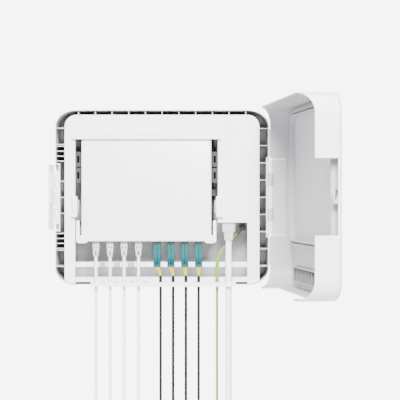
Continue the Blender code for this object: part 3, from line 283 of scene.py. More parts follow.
def housing_painted_shade(finish):
    """Painted shade: deep in the housing, and on the wall just inside its rim, the white is mixed with grey as
    if in shade; the rim stays white, and the ribs' fronts nearly do.
    """
    place = finish.place()
    behind_rim = finish.part(place, "Y") - housing_low.y
    room = within(finish, place, HOUSING_SIZE, HOUSING_CORNER, WHITE_EDGE)
    channel = within(finish, place, HOUSING_SIZE, HOUSING_CORNER, CHANNEL_EDGE)
    deep = ((behind_rim - SHADE_START) * (1 / SHADE_FADE)).clamp()
    wall = (behind_rim > RIM_DEPTH) * (room - channel)
    return deep.at_least(wall) * room * PAINTED_SHADE_SHARE, HOUSING_PAINTED_SHADE


# These are places in the closed cover, from the hinge's axis.
COVER_SIZE = (362 * MM, 297 * MM)
COVER_CORNER = (39 * MM, 32 * MM)
COVER_EDGE = 2.2 * MM
COVER_INNER_Y = -36.9 * MM
BAND_FRONT_Y = -29.0 * MM          # the fronts of the ribs in the band opposite the combs
BAND_HALF = 139 * MM
BAND_LOW = -137 * MM
BAND_HIGH = -110 * MM
# painted shade: the grey of the cover's inner face, and the darker grey between the band's ribs
COVER_PAINTED_SHADE = (0.38, 0.385, 0.40)
BAND_PAINTED_SHADE = (0.14, 0.14, 0.145)


def cover_painted_shade(finish):
    """Painted shade: the cover's inner face is mixed to a duller grey than its outside, and darkest between the
    ribs of its band, as if in shade.
    """
    closed = finish.node("ShaderNodeMapping", {"vector_type": "TEXTURE"},
                         {"Vector": finish.place(), "Location": HINGE,
                          "Rotation": (0, 0, math.radians(OPEN_ANGLE))})
    room = within(finish, closed, COVER_SIZE, COVER_CORNER, COVER_EDGE, -HINGE.x)
    across = (finish.part(closed, "X") + HINGE.x).size()
    depth = finish.part(closed, "Y")
    height = finish.part(closed, "Z")
    band = (across < BAND_HALF) * (height > BAND_LOW) * (height < BAND_HIGH) * (depth < BAND_FRONT_Y)
    painted_tone = finish.mix(band, COVER_PAINTED_SHADE, BAND_PAINTED_SHADE)
    return room * (depth > COVER_INNER_Y) * PAINTED_SHADE_SHARE, painted_tone


WHITE = (0.86, 0.865, 0.875)
LOOKS = {
    "shell": moulded("shell_grain", WHITE, 0.42),
    "housing": moulded("housing_grain_painted_shade", WHITE, 0.42, painted_shade=housing_painted_shade),
    "cover": moulded("cover_grain_painted_shade", WHITE, 0.42, painted_shade=cover_painted_shade),
    "leaf": moulded("leaf_grain", (0.50, 0.505, 0.515), 0.45),
    "panel": moulded("panel_grain", (0.84, 0.845, 0.855), 0.50, 0.0005),
    "switch": moulded("switch_grain", (0.87, 0.875, 0.885), 0.38, 0.0003, 0.000012),
    "grey": moulded("support_grain", (0.30, 0.305, 0.315), 0.55),
    # painted shade: the cradle behind the switch is near black, standing in for the shade that fills the space
    # behind the switch
    "cradle_shade": moulded("cradle_grain_painted_shade", (0.06, 0.0605, 0.062), 0.60, Specular_IOR_Level=0.05),
    "black": moulded("socket_grain", (0.012, 0.012, 0.013), 0.50),
    "clear": moulded("plug_moulding", (0.34, 0.345, 0.36), 0.22, 0.002, 0.00001, Coat_Weight=0.3),
    "frosted": moulded("connector_moulding", (0.45, 0.46, 0.48), 0.35, 0.001, 0.00001),
    "mark": moulded("mark_moulding", (0.05, 0.05, 0.055), 0.50),
    "teal": moulded("duplex_moulding", (0.003, 0.085, 0.092), 0.55, 0.001, 0.00001, Specular_IOR_Level=0.25),
    "teal_dark": moulded("duplex_shadow_moulding", (0.001, 0.02, 0.04), 0.6, 0.001, 0.00001,
                         Specular_IOR_Level=0.1),
    "latch_green": moulded("module_latch_moulding", (0.010, 0.040, 0.038), 0.45, 0.001, 0.00001),
    "boot": moulded("boot_moulding", (0.48, 0.485, 0.495), 0.50, 0.0008),
    "rubber": moulded("gasket_rubber", (0.22, 0.22, 0.225), 0.85, 0.0006, 0.00005),
    # partly real foam, partly painted shade: near black, so the slit under the lower comb reads dark
    "foam": moulded("entry_foam_and_slit_shade", (0.006, 0.006, 0.006), 0.95, 0.0010, 0.0001, Specular_IOR_Level=0.0),
    # painted shade: near black plates that keep the cradle's pockets dark
    "pocket_shade": moulded("pocket_painted_shade", (0.004, 0.004, 0.004), 0.95, 0.0010, Specular_IOR_Level=0.0),
    # painted shade: grey for the gaps between the upper comb's posts
    "gap_shade": moulded("comb_gap_shade_grey", (0.30, 0.30, 0.31), 0.60, 0.0008),
}

# %% [markdown]
# ## Metal and board finishes
#
# Zinc-plated sheet has a faint grain in its rolling direction, which a noise stretched along one axis gives.
# The circuit board's green lacquer is glossy, and its copper tracks show through as slightly lighter lines.

# %% Metal finishes
def plated(name, base, roughness, stretch):
    finish = Finish(name, roughness, 1.0)
    streak = finish.noise(0.0012, 3.0, stretch=stretch)
    blot = finish.noise(0.012, 2.0)
    finish.feed("Base Color", finish.mix(blot, base, shade(base, 0.82)))
    finish.feed("Roughness", streak * 0.22 + (roughness - 0.08))
    finish.bump(streak, 0.00001)
    return finish.material


TRACK_PITCH = 2.6 * MM


def lacquered_board():
    finish = Finish("board_lacquer", 0.3)
    across = finish.part(finish.place(), "X")
    tracks = (across * (math.tau / TRACK_PITCH)).wave() > 0.55
    broad = finish.noise(0.02, 2.0) > 0.5
    finish.feed("Base Color", finish.mix(tracks * broad, (0.012, 0.10, 0.045), (0.03, 0.20, 0.09)))
    return finish.material


LOOKS["zinc"] = plated("zinc_plate", (0.55, 0.56, 0.58), 0.34, (1, 1, 0.08))
LOOKS["cage"] = plated("cage_nickel", (0.42, 0.42, 0.43), 0.30, (1, 1, 0.1))
LOOKS["copper"] = plated("lug_copper", (0.13, 0.08, 0.06), 0.55, (0.3, 1, 1))
LOOKS["screw"] = plated("screw_steel", (0.045, 0.045, 0.05), 0.50, (1, 1, 0.3))
LOOKS["gold"] = plated("contact_gold", (0.85, 0.62, 0.25), 0.22, (1, 1, 0.2))
LOOKS["board"] = lacquered_board()

# %% [markdown]
# ## Cable sheaths
#
# A sheath is extruded, so its marks run along it. The curve's own UV map counts along its length and round
# it, and the pattern follows that map, so it stays with the cable wherever it bends. An earth wire is
# green and yellow by rule: the split is drawn round the wire, and twists slowly as it goes down.

# %% Sheath finishes
def sheath(name, base, roughness, depth=0.00001, **fixed):
    finish = Finish(name, roughness, **fixed)
    fine = finish.noise(0.004, 2.0, stretch=(1, 1, 0.1))
    broad = finish.noise(0.03, 2.0)
    finish.feed("Base Color", finish.mix(broad, base, shade(base, 0.93)))
    finish.feed("Roughness", fine * 0.10 + (roughness - 0.05))
    finish.bump(fine, depth)
    return finish.material


EARTH_TWIST = 0.4                  # turns of the stripes in a metre
EARTH_TURN = -0.64                 # turns by which they are shifted, so that green faces the front


def two_colour_sheath():
    finish = Finish("earth_stripes", 0.5, Specular_IOR_Level=0.25)
    turn = finish.part(finish.along(), "Y") + finish.part(finish.place(), "Z") * EARTH_TWIST + EARTH_TURN
    stripe = ((turn * math.tau).wave() * 2.5 + 0.3).clamp()
    finish.feed("Base Color", finish.mix(stripe, (0.30, 0.37, 0.008), (0.14, 0.30, 0.014)))
    finish.bump(finish.noise(0.004, 2.0), 0.00001)
    return finish.material


LOOKS["white_sheath"] = sheath("white_sheath", (0.86, 0.86, 0.87), 0.42)
LOOKS["black_sheath"] = sheath("black_sheath", (0.008, 0.008, 0.009), 0.65, Specular_IOR_Level=0.2)
LOOKS["yellow_sheath"] = sheath("yellow_sheath", (0.46, 0.37, 0.006), 0.60, Specular_IOR_Level=0.25)
LOOKS["earth_sheath"] = two_colour_sheath()
print(len(LOOKS), "finishes")

# %% [markdown]
# ## The leads
#
# Each lead is a fixed length of cable that leaves its plug, hangs straight down through the combs under its own
# weight, and ends in its far plug. The routes repeat those of the frame. Every route is passed through a smooth
# curve and then sampled evenly, so that the tube has no kinks.

# %% Lead routes
GAP = 0.3 * MM                     # between a cable's end and its plug
SPAN_STEPS = 24                    # points on the curve between two of a route's own
ETHERNET_X = (-0.1098, -0.0863, -0.0631, -0.0393)
FIBRE_X = (-0.0083, 0.0146, 0.0375, 0.0604)
FIBRE_HANG_X = (-0.0026, 0.0181, 0.0393, 0.0604)
POWER_X = 0.1101
EARTH_X = 0.091
EARTH_LUG_Y = -0.0649

ETHERNET_ROUTES = [[(x, LEAD_Y, z) for z in (-0.0983, -0.16, -0.24, -0.32, -0.398)] for x in ETHERNET_X]
FIBRE_ROUTES = [[(x, LEAD_Y, z) for z in (-0.1313, -0.17, -0.25, -0.33, -0.414)] for x in FIBRE_HANG_X]
POWER_ROUTE = [(POWER_X, LEAD_Y, z) for z in (-0.0703, -0.14, -0.22, -0.30, -0.385)]
EARTH_ROUTE = [(0.1235, EARTH_LUG_Y, -0.0612), (0.117, EARTH_LUG_Y, -0.0672), (0.104, -0.0680, -0.0815),
               (0.0935, -0.0735, -0.0975), (0.0912, LEAD_Y, -0.1100), (EARTH_X, LEAD_Y, -0.125),
               (EARTH_X, LEAD_Y, -0.20), (EARTH_X, LEAD_Y, -0.30), (EARTH_X, LEAD_Y, -0.392)]


def smooth_route(route, spacing):
    """Evenly spaced points on a smooth curve that passes through the route's own points."""
    points = [Vector(p) for p in route]
    points = [points[0] * 2 - points[1]] + points + [points[-1] * 2 - points[-2]]
    dense = []
    for a, b, c, d in zip(points, points[1:], points[2:], points[3:]):
        for i in range(SPAN_STEPS):
            t = i / SPAN_STEPS
            dense.append(0.5 * (2 * b + (c - a) * t + (2 * a - 5 * b + 4 * c - d) * t * t
                                + (3 * b - a - 3 * c + d) * t ** 3))
    dense.append(points[-2])
    lengths = [0.0]
    for p, q in zip(dense, dense[1:]):
        lengths.append(lengths[-1] + (q - p).length)
    count = max(3, round(lengths[-1] / spacing))
    even = []
    place = 0
    for i in range(count + 1):
        wanted = lengths[-1] * i / count
        while place < len(lengths) - 2 and lengths[place + 1] < wanted:
            place += 1
        share = (wanted - lengths[place]) / (lengths[place + 1] - lengths[place])
        even.append(dense[place].lerp(dense[place + 1], share))
    return even, lengths[-1]


def curve_tube(name, points, diameter, look, body="housing"):
    """A round tube along a line of points, as a curve with filled ends."""
    curve = bpy.data.curves.new(name, "CURVE")
    curve.dimensions = "3D"
    curve.bevel_depth = diameter / 2
    curve.bevel_resolution = 6
    curve.use_fill_caps = True
    spline = curve.splines.new("POLY")
    spline.points.add(len(points) - 1)
    for target, point in zip(spline.points, points):
        target.co = (*point, 1.0)
    spline.use_smooth = True
    made = bpy.data.objects.new(name, curve)
    made.data.materials.append(look)
    bpy.context.scene.collection.objects.link(made)
    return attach(made, body)


def hang_lead(node, route, diameter, look):
    points, length = smooth_route(route, diameter * 1.5)
    lead = curve_tube(f"{node}_sheath", points, diameter, LOOKS[look])
    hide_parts(node)
    return length


# %% Hang the leads
ETHERNET_DIAMETER = 5.0 * MM
FIBRE_DIAMETER = 4.5 * MM
EARTH_DIAMETER = 4.5 * MM
POWER_DIAMETER = 10.5 * MM

for number, route in enumerate(ETHERNET_ROUTES, 1):
    length = hang_lead(f"ethernet_cable_{number}", route, ETHERNET_DIAMETER, "white_sheath")
    print("copper lead", number, "is", round(length / MM), "mm long")
for number, route in enumerate(FIBRE_ROUTES, 1):
    length = hang_lead(f"fibre_cable_{number}", route, FIBRE_DIAMETER, "black_sheath")
    print("fibre lead", number, "is", round(length / MM), "mm long")
hang_lead("power_cord", POWER_ROUTE, POWER_DIAMETER, "white_sheath")
hang_lead("earth_wire", EARTH_ROUTE, EARTH_DIAMETER, "earth_sheath")

# %% [markdown]
# ## Moulded edges on the frame's parts
#
# Nothing that comes out of a mould has a knife edge. The frame's solids are exact but sharp, so each one that
# shows gets a skin: its mesh is copied, the loose triangles are welded, flat areas are cleared of extra
# edges, and a Bevel modifier rounds the corners that are left.

# %% Skins with rounded edges
SHARP_ANGLE = math.radians(38)      # an edge steeper than this is shaded as an edge
FLAT_ANGLE = math.radians(0.5)
ROUNDED_ANGLE = math.radians(40)


def finish_piece(name, bm, look, body):
    """Turn a bmesh into a shown piece that rides on a body."""
    bmesh.ops.recalc_face_normals(bm, faces=bm.faces)
    mesh = bpy.data.meshes.new(name)
    bm.to_mesh(mesh)
    bm.free()
    mesh.shade_smooth()
    mesh.set_sharp_from_angle(angle=SHARP_ANGLE)
    mesh.materials.append(LOOKS[look])
    made = bpy.data.objects.new(name, mesh)
    bpy.context.scene.collection.objects.link(made)
    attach(made, body)
    return made


WELD = 0.002 * MM
MOULDED_EDGE = 0.35 * MM


def skin(node, look, edge):
    """A copy of one of the frame's solids with rounded edges, shown in its place."""
    source = frame["nodes"][node]
    bm = bmesh.new()
    bm.from_mesh(source.data)
    bmesh.ops.remove_doubles(bm, verts=bm.verts, dist=WELD)
    bmesh.ops.dissolve_limit(bm, angle_limit=FLAT_ANGLE, verts=bm.verts, edges=bm.edges)
    made = finish_piece(f"{node}_skin", bm, look, source["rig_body"])
    if edge:
        bevel = made.modifiers.new("moulded_edges", "BEVEL")
        bevel.width = edge
        bevel.segments = 2
        bevel.limit_method = "ANGLE"
        bevel.angle_limit = ROUNDED_ANGLE
        bevel.use_clamp_overlap = True
    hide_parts(node)
    return made


SKINS = {
    "rear_housing": "housing", "front_cover": "cover", "hinge_leaf": "leaf", "hinge_bracket": "shell",
    "latch_lever": "shell", "inner_panel": "panel", "top_rail": "switch", "switch_cradle": "cradle_shade",
    "switch_support": "switch", "switch_cover": "switch", "switch_base": "switch",
    "upper_comb": "panel", "lower_comb": "panel", "clamp_bar": "panel", "power_supply": "grey",
    "supply_link": "black", "pole_bracket": "zinc",
    "cover_seal": "rubber", "circuit_board": "board", "ethernet_jacks": "black", "sfp_cages": "cage",
    "hinge_pin": "zinc", "latch_pin": "zinc", "earth_screw": "screw", "earth_lug": "copper",
    "earth_end_lug": "copper",
}
SHARP = ("hinge_leaf", "hinge_bracket", "latch_lever")      # their knuckles are too fine to round
for node, look in SKINS.items():
    skin(node, look, 0 if node in SHARP else MOULDED_EDGE)
print(len(SKINS), "skins")

# %% [markdown]
# ## Shapes for the small pieces
#
# The connectors are made of a few repeated shapes: a block with rounded edges, a block that tapers along the
# lead, and a round stem. Each call adds its shape to a mesh that holds all parts of one finish.

# %% Small shapes
def round_edges(bm, verts, edge):
    edges = {e for v in verts for e in v.link_edges}
    bmesh.ops.bevel(bm, geom=list(edges), offset=edge, segments=2, affect="EDGES", profile=0.5, material=-1)


def add_block(bm, centre, size, edge=0.3 * MM):
    """A box round a centre, with rounded edges."""
    verts = bmesh.ops.create_cube(bm, size=1.0)["verts"]
    bmesh.ops.scale(bm, vec=size, verts=verts)
    bmesh.ops.translate(bm, vec=centre, verts=verts)
    round_edges(bm, verts, edge)


def add_taper(bm, x, start, end, first, last, edge=0.4 * MM):
    """A block along a lead, from one height to another, whose width and thickness change on the way."""
    verts = bmesh.ops.create_cube(bm, size=1.0)["verts"]
    for vert in verts:
        width, thickness = last if vert.co.z > 0 else first
        height = end if vert.co.z > 0 else start
        vert.co = (x + vert.co.x * width, LEAD_Y + vert.co.y * thickness, height)
    round_edges(bm, verts, edge)


def add_stem(bm, start, end, radius, sides=20):
    """A round rod between two points."""
    start, end = Vector(start), Vector(end)
    along = end - start
    place = Matrix.Translation((start + end) / 2) @ along.to_track_quat("Z", "Y").to_matrix().to_4x4()
    bmesh.ops.create_cone(bm, cap_ends=True, segments=sides, radius1=radius, radius2=radius,
                          depth=along.length, matrix=place)


def detailed(node, **parts):
    """Show several finishes in place of one node: each argument is a finish and its mesh."""
    body = frame["nodes"][node]["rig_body"]
    for look, bm in parts.items():
        made = finish_piece(f"{node}_{look}", bm, look, body)
        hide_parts(node)


def meshes(count):
    return [bmesh.new() for _ in range(count)]


# %% [markdown]
# ## Copper plugs
#
# A network plug has three visible parts: a clear body that goes into the socket, a collar with two small
# windows, and a ribbed boot that thins towards the cable. The far ends show the latch tab and gold contacts.

# %% Ethernet plugs
PLUG = (11.6 * MM, 7.8 * MM)                  # width and thickness, as in the rest of this cell
BOOT_LENGTH = 14.5 * MM
BOOT_AT_CABLE = (8.0 * MM, 6.6 * MM)
BOOT_AT_COLLAR = (10.6 * MM, 7.2 * MM)
COLLAR_LENGTH = 5.2 * MM
COLLAR = (11.2 * MM, 7.6 * MM)
RINGS = 4
RING_STEP = 3.0 * MM
RING_AT_CABLE = (8.4 * MM, 6.9 * MM)
RING_GROWTH = (2.6 * MM, 0.8 * MM)            # over the boot's length
RING_HEIGHT = 1.1 * MM
WINDOW = (2.0 * MM, 0.5 * MM, 3.0 * MM)
WINDOW_X = 2.7 * MM
WINDOW_FRONT = 3.75 * MM
WINDOW_START = 0.6 * MM                       # beyond the start of the collar
TAB = (2.2 * MM, 0.3 * MM, 7.0 * MM)
TAB_FRONT = 3.55 * MM
TAB_MIDDLE = 6.0 * MM
CONTACTS = 8
CONTACT_PITCH = 1.02 * MM
CONTACT = (0.45 * MM, 0.5 * MM, 5.0 * MM)
CONTACT_BACK = 3.8 * MM
CONTACT_MIDDLE = 3.4 * MM


def copper_plug(node, x, cable_end, plug_end):
    """A plug between the cable and its own tip; it points up where the tip is the higher of the two."""
    up = 1 if plug_end > cable_end else -1
    boot, clear, mark, gold = meshes(4)
    collar_start = cable_end + up * BOOT_LENGTH
    collar_end = collar_start + up * COLLAR_LENGTH
    add_taper(boot, x, cable_end, collar_start, BOOT_AT_CABLE, BOOT_AT_COLLAR)
    add_taper(boot, x, collar_start - up * MM, collar_end, COLLAR, PLUG)
    for i in range(1, RINGS + 1):
        share = i * RING_STEP / BOOT_LENGTH
        width, thickness = (start + share * growth for start, growth in zip(RING_AT_CABLE, RING_GROWTH))
        add_block(boot, (x, LEAD_Y, cable_end + up * i * RING_STEP), (width, thickness, RING_HEIGHT), 0.25 * MM)
    for side in (-1, 1):
        add_block(mark, (x + side * WINDOW_X, LEAD_Y - WINDOW_FRONT, collar_start + up * WINDOW_START),
                  WINDOW, 0.1 * MM)
    add_block(mark, (x, LEAD_Y - TAB_FRONT, cable_end + up * TAB_MIDDLE), TAB, 0.1 * MM)
    middle = (collar_end + plug_end) / 2
    add_block(clear, (x, LEAD_Y, middle), (*PLUG, abs(plug_end - collar_end)), 0.4 * MM)
    for i in range(CONTACTS):
        at = x + (i - (CONTACTS - 1) / 2) * CONTACT_PITCH
        add_block(gold, (at, LEAD_Y + CONTACT_BACK, plug_end - up * CONTACT_MIDDLE), CONTACT, 0.08 * MM)
    detailed(node, boot=boot, clear=clear, mark=mark, gold=gold)


PLUG_TIP = -60.9 * MM              # of the plugs in the switch
PLUG_LENGTH = 35.2 * MM
for number, (x, route) in enumerate(zip(ETHERNET_X, ETHERNET_ROUTES), 1):
    copper_plug(f"ethernet_plug_{number}", x, route[0][2] + GAP, PLUG_TIP)
    copper_plug(f"ethernet_end_plug_{number}", x, route[-1][2] - GAP, route[-1][2] - PLUG_LENGTH)
print("8 copper plugs")

# %% [markdown]
# ## Fibre connectors
#
# Two slim connectors sit side by side in a clip, and each has its own boot. Their yellow fibres slant across to
# the black outer cable and go into it through a short collar. The module that they plug into shows only its
# two dark release levers.

# %% Duplex connectors
BODY_OFFSET = 2.95 * MM            # each connector's centre from the middle of the pair
BODY = (4.9 * MM, 8.6 * MM)        # widths and thicknesses, as in the rest of this cell
BODY_LENGTH = 20.0 * MM
BOOT_NEAR = (4.6 * MM, 7.4 * MM)
BOOT_FAR = (3.9 * MM, 5.0 * MM)
BOOT_RINGS = 4
BOOT_RING_STEP = 2.6 * MM
BOOT_RING = (4.5 * MM, 6.9 * MM, 0.8 * MM)
CLIP = (10.8 * MM, 9.0 * MM, 3.6 * MM)
CLIP_MIDDLE = 2.2 * MM             # from the mating end
SPINE = (1.5 * MM, 6.6 * MM)       # the dark line between the two
SPINE_INSET = 12 * MM              # both ends together
SPINE_SHIFT = 2.0 * MM
LEG_RADIUS = 1.6 * MM
LEG_OFFSETS = (2.3 * MM, 0.9 * MM)             # from the middle, at the boots and at the collar
COLLAR_RADIUS = 1.9 * MM
LEG_COLLAR_LENGTH = 1.8 * MM
FAR_COLLAR = (5.5 * MM, 5.5 * MM, 13.4 * MM)


def duplex(node, x, mating, boots, legs=None):
    """Two connectors from their mating end to their boots' ends, and legs that run on to a collar."""
    up = 1 if mating > boots else -1
    teal, teal_dark, latch_green = meshes(3)
    shoulder = mating - up * BODY_LENGTH
    for side in (-1, 1):
        at = x + side * BODY_OFFSET
        add_taper(teal, at, mating, shoulder, BODY, BODY, 0.8 * MM)
        add_taper(teal, at, shoulder + up * MM, boots, BOOT_NEAR, BOOT_FAR, 0.8 * MM)
        for i in range(1, BOOT_RINGS + 1):
            add_block(teal_dark, (at, LEAD_Y, shoulder - up * i * BOOT_RING_STEP), BOOT_RING, 0.1 * MM)
    add_block(teal, (x, LEAD_Y, mating - up * CLIP_MIDDLE), CLIP, 0.5 * MM)
    middle = (mating + boots) / 2 - up * SPINE_SHIFT
    add_block(teal_dark, (x, LEAD_Y, middle), (*SPINE, abs(mating - boots) - SPINE_INSET), 0.2 * MM)
    parts = {"teal": teal, "teal_dark": teal_dark}
    if legs:
        hang, jacket = legs
        (yellow_sheath,) = meshes(1)
        for side in (-1, 1):
            add_stem(yellow_sheath, (x + side * LEG_OFFSETS[0], LEAD_Y, boots + 2 * MM),
                     (hang + side * LEG_OFFSETS[1], LEAD_Y, jacket + 1.2 * MM), LEG_RADIUS)
        add_stem(latch_green, (hang, LEAD_Y, jacket + LEG_COLLAR_LENGTH), (hang, LEAD_Y, jacket), COLLAR_RADIUS)
        parts["yellow_sheath"] = yellow_sheath
    else:
        add_block(latch_green, (x, LEAD_Y, boots + FAR_COLLAR[2] / 2), FAR_COLLAR, 0.8 * MM)
    detailed(node, **parts, latch_green=latch_green)


MODULE_END = switch_low.z - 6.6 * MM
BOOTS_END = -114.4 * MM            # of the connectors in the switch
FAR_MATING_END = 45.0 * MM         # below the cable's end, at the far connectors
FAR_BOOTS_END = 13.2 * MM
MODULE = (13.4 * MM, 8.5 * MM, 45 * MM)
MODULE_MIDDLE = 22 * MM            # above the switch's lower edge
LEVER = (4.9 * MM, 8.4 * MM, 7.4 * MM)
LEVER_OFFSET = 3.1 * MM
LEVER_Z = (switch_low.z + MODULE_END) / 2 + 0.5 * MM
for number, (x, hang, route) in enumerate(zip(FIBRE_X, FIBRE_HANG_X, FIBRE_ROUTES), 1):
    duplex(f"fibre_connector_{number}", x, MODULE_END - GAP, BOOTS_END, (hang, route[0][2] + GAP))
    end = route[-1][2] - GAP
    duplex(f"fibre_end_connector_{number}", hang, end - FAR_MATING_END, end - FAR_BOOTS_END)
    cage, latch_green = meshes(2)
    add_block(cage, (x, LEAD_Y, switch_low.z + MODULE_MIDDLE), MODULE, 0.4 * MM)
    for side in (-1, 1):
        add_block(latch_green, (x + side * LEVER_OFFSET, LEAD_Y, LEVER_Z), LEVER, 0.5 * MM)
    detailed(f"sfp_module_{number}", cage=cage, latch_green=latch_green)
print("8 fibre connectors and 4 modules")

# %% [markdown]
# ## Mains connectors
#
# The connector in the box is frosted plastic, wide where it meets the power supply and narrow where it grips
# the cord. The far plug is solid white, with ridges to hold it by.

# %% Power connectors
def ridges(bm, first, step, count, size, edge):
    for i in range(count):
        add_block(bm, (POWER_X, LEAD_Y, first - i * step), size, edge)


# Widths and thicknesses, from the power supply down to the cord
WIDE = (18.8 * MM, 15.8 * MM)
SHOULDER = (18.2 * MM, 15.2 * MM)
NECK = (13.9 * MM, 13.4 * MM)
SLEEVE = (13.8 * MM, 13.3 * MM)
NARROW = (12.4 * MM, 12.4 * MM)
RIDGE = (14.0 * MM, 13.5 * MM, 1.2 * MM)
FAR_PLUG = ((23.0 * MM, 17.0 * MM), (23.9 * MM, 17.9 * MM))
FAR_GRIP = (15.8 * MM, 13.9 * MM)
FAR_RIDGE = (23.8 * MM, 17.8 * MM, 1.4 * MM)

# Heights in the box, and how far each length reaches into the next
TOP_Z = -42.4 * MM
SHOULDER_Z = -54.0 * MM
SLEEVE_Z = -58.5 * MM
SLEEVE_END = -70.0 * MM
SHOULDER_OVERLAP = 1.5 * MM
OVERLAP = 1.0 * MM

# Lengths along the far plug, from the cord's end
FAR_GRIP_LENGTH = 18 * MM
FAR_LENGTH = 48 * MM
FAR_FIRST_RIDGE = 24 * MM

frosted, boot = meshes(2)
add_taper(frosted, POWER_X, TOP_Z, SHOULDER_Z - SHOULDER_OVERLAP, WIDE, WIDE, 1.2 * MM)
add_taper(frosted, POWER_X, SHOULDER_Z, SLEEVE_Z - OVERLAP, SHOULDER, NECK, 0.8 * MM)
add_taper(boot, POWER_X, SLEEVE_Z, SLEEVE_END, SLEEVE, NARROW, 0.8 * MM)
ridges(boot, SLEEVE_Z - 3.0 * MM, 2.8 * MM, 3, RIDGE, 0.3 * MM)
detailed("power_connector", frosted=frosted, boot=boot)

end = POWER_ROUTE[-1][2] - GAP
(boot,) = meshes(1)
add_taper(boot, POWER_X, end, end - FAR_GRIP_LENGTH, NARROW, FAR_GRIP, 0.8 * MM)
add_taper(boot, POWER_X, end - FAR_GRIP_LENGTH + OVERLAP, end - FAR_LENGTH, *FAR_PLUG, 1.6 * MM)
ridges(boot, end - FAR_FIRST_RIDGE, 4.0 * MM, 4, FAR_RIDGE, 0.4 * MM)
detailed("power_end_plug", boot=boot)
print("2 mains connectors")

# %% [markdown]
# ## Release clips
#
# Each clip is a white head with a hollow for a fingertip, in front of a grey spring arm that reaches back
# beside the switch.

# %% Clips beside the switch
HOLLOW_STEPS = 16
HOLLOW_DEPTH = 2.8 * MM
ARM_SIZE = (2.8 * MM, 18.0 * MM, 21.4 * MM)
ARM_Z = -15.25 * MM
ARM_Y = PANEL_FRONT + 5.0 * MM
RIM_ROUNDING = 1.2 * MM


def release_clip(node, side, head_width):
    low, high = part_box(node)
    outer = low.x if side < 0 else high.x
    inner = outer - side * head_width
    outline = []
    for i in range(HOLLOW_STEPS + 1):
        t = i / HOLLOW_STEPS
        hollow = HOLLOW_DEPTH * math.sin(math.pi * t)
        outline.append((outer - side * hollow, high.z + (low.z - high.z) * t))
    outline += [(inner, low.z), (inner, high.z)]
    switch, grey = meshes(2)
    face = switch.faces.new([switch.verts.new((x, low.y, z)) for x, z in outline])
    moved = bmesh.ops.extrude_face_region(switch, geom=[face])["geom"]
    new_verts = [part for part in moved if isinstance(part, bmesh.types.BMVert)]
    bmesh.ops.translate(switch, vec=(0, panel_low.y - GAP - low.y, 0), verts=new_verts)
    rim = [e for e in switch.edges if all(abs(v.co.y - low.y) < 0.01 * MM for v in e.verts)]
    bmesh.ops.bevel(switch, geom=rim, offset=RIM_ROUNDING, segments=3, affect="EDGES", profile=0.5, material=-1)
    add_block(grey, (inner - side * ARM_SIZE[0] / 2, ARM_Y, ARM_Z), ARM_SIZE)
    detailed(node, switch=switch, grey=grey)


release_clip("release_clip_left", -1, 10.1 * MM)
release_clip("release_clip_right", 1, 11.3 * MM)
print("2 release clips")

# %% [markdown]
# ## Foam strip, painted pocket shade and painted comb-gap shade
#
# Three small things make the panel's lower edge and its slots read well. A dark foam strip fills the slit under
# the lower comb, and shows at both ends of the clamp bar; it is partly a real strip and partly painted shade for
# the slit. The blocks beside the switch have deep pockets, and a black plate a little way into each is painted
# shade that keeps it dark in any light. The upper comb grips each copper lead between two white posts, and the
# length between neighbouring posts is a greyer plate, painted shade for the gap between the posts.

# %% Foam strip, painted pocket shade and painted comb-gap shade
def blocks_piece(name, look, blocks, edge):
    """One piece in the housing, made of several blocks, each given by its centre and its size."""
    (bm,) = meshes(1)
    for centre, size in blocks:
        add_block(bm, centre, size, edge)
    finish_piece(name, bm, look, "housing")
    print(name, "has", len(blocks), "blocks")


# Partly real foam, partly painted shade: the near black strip also stands in for the shade in the slit.
FOAM_DEPTH = 7 * MM
FOAM_Y = 4 * MM                    # its middle, behind the comb's front
FOAM_START = 6 * MM                # from the comb's left end
FOAM_GAP = 0.5 * MM                # beside the clamp bar
lower_low, lower_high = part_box("lower_comb")
clamp_low, clamp_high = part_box("clamp_bar")
slit_low = panel_low.z + 0.3 * MM
slit_high = lower_low.z - 0.2 * MM
slit_middle = (slit_low + slit_high) / 2
foam = []
for left, right in ((lower_low.x + FOAM_START, clamp_low.x - FOAM_GAP), (clamp_high.x + FOAM_GAP, lower_high.x)):
    foam.append((((left + right) / 2, lower_low.y + FOAM_Y, slit_middle),
                 (right - left, FOAM_DEPTH, slit_high - slit_low)))
blocks_piece("entry_foam_and_slit_shade", "foam", foam, 0.2 * MM)

# Painted shade: a black plate a little way into each pocket beside the switch keeps it dark.
POCKET_X = 5.5 * MM                # beyond the switch, each side
POCKET_HEIGHTS = (62.8 * MM, 36.15 * MM)
POCKET_SIZE = (3.4 * MM, 2 * MM, 10.8 * MM)
POCKET_Y = 1.6 * MM                # behind the blocks' fronts
cradle_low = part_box("switch_cradle")[0]
pocket_shade_plates = []
for x in (switch_low.x - POCKET_X, switch_high.x + POCKET_X):
    pocket_shade_plates += [((x, cradle_low.y + POCKET_Y, z), POCKET_SIZE) for z in POCKET_HEIGHTS]
blocks_piece("cradle_pocket_shades", "pocket_shade", pocket_shade_plates, 0.1 * MM)

# Painted shade: grey plates between the comb's posts stand in for the shade in the gaps between its teeth.
POST_WIDTH = 3.6 * MM
SHADE_PLATE_DEPTH = 4 * MM
SHADE_PLATE_Y = 1.85 * MM               # its middle, behind the comb's front
upper_low, upper_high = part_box("upper_comb")
comb_middle = (upper_low.z + upper_high.z) / 2
shade_plate_height = upper_high.z - upper_low.z - 0.2 * MM
comb_gap_plates = []
for left, right in zip(ETHERNET_X, ETHERNET_X[1:]):
    comb_gap_plates.append((((left + right) / 2, upper_low.y + SHADE_PLATE_Y, comb_middle),
                    (right - left - ETHERNET_DIAMETER - 2 * POST_WIDTH, SHADE_PLATE_DEPTH, shade_plate_height)))
blocks_piece("comb_gap_painted_shade", "gap_shade", comb_gap_plates, 0.2 * MM)

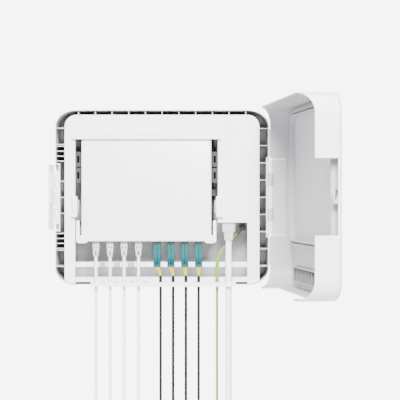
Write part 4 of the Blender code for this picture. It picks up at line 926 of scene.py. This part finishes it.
# %% [markdown]
# ## Floor and light
#
# A pale floor well below the box and a pale sky all round give the even light of a product picture. The main
# soft lamp is above and behind the camera, and one beside it, lower down, reaches into the housing's channel. A
# lamp overhead and one at the left soften the shadows, and the inside of the cover still falls into shade.

# %% Stage and lights
FLOOR_Z = cad_low.z - 20 * MM
FLOOR_HALF = 0.85
SKY_STRENGTH = 0.10
BACKDROP_STRENGTH = 7.0
bm = bmesh.new()
bmesh.ops.create_grid(bm, x_segments=1, y_segments=1, size=FLOOR_HALF)
bmesh.ops.translate(bm, vec=(0, 0, FLOOR_Z), verts=bm.verts)
floor_mesh = bpy.data.meshes.new("floor")
bm.to_mesh(floor_mesh)
bm.free()
floor_finish = Finish("pale_floor", 0.9)
floor_finish.feed("Base Color",
                  floor_finish.mix(floor_finish.noise(0.5), (0.93, 0.93, 0.93), (0.90, 0.90, 0.90)))
floor_mesh.materials.append(floor_finish.material)
floor = bpy.data.objects.new("floor", floor_mesh)
bpy.context.scene.collection.objects.link(floor)

world = bpy.data.worlds.new("pale_sky")
world.use_nodes = True
sky = world.node_tree.nodes["Background"]
sky.inputs["Color"].default_value = (1, 1, 1, 1)
sky.inputs["Strength"].default_value = SKY_STRENGTH
backdrop = world.node_tree.nodes.new("ShaderNodeBackground")
backdrop.inputs["Color"].default_value = (1, 1, 1, 1)
backdrop.inputs["Strength"].default_value = BACKDROP_STRENGTH
either = world.node_tree.nodes.new("ShaderNodeMixShader")
seen = world.node_tree.nodes.new("ShaderNodeLightPath")
join = world.node_tree.links.new
join(seen.outputs["Is Camera Ray"], either.inputs["Fac"])
join(sky.outputs["Background"], either.inputs[1])
join(backdrop.outputs["Background"], either.inputs[2])
join(either.outputs["Shader"], world.node_tree.nodes["World Output"].inputs["Surface"])
bpy.context.scene.world = world


def soft_lamp(name, place, aim, size, power):
    data = bpy.data.lights.new(name, "AREA")
    data.shape = "SQUARE"
    data.size = size
    data.energy = power
    lamp = bpy.data.objects.new(name, data)
    lamp.location = place
    lamp.rotation_euler = (Vector(aim) - Vector(place)).to_track_quat("-Z", "Y").to_euler()
    bpy.context.scene.collection.objects.link(lamp)


soft_lamp("key", (0.2, -2.6, 1.5), (0, 0, 0), 1.2, 425)
soft_lamp("low", (0.16, -2.6, -0.32), (0.06, 0, 0), 0.3, 16)
soft_lamp("top", (0.0, -0.4, 2.0), (0, -0.1, 0), 1.6, 60)
soft_lamp("left", (-1.9, -1.1, 0.5), (0, -0.1, 0), 1.0, 34)
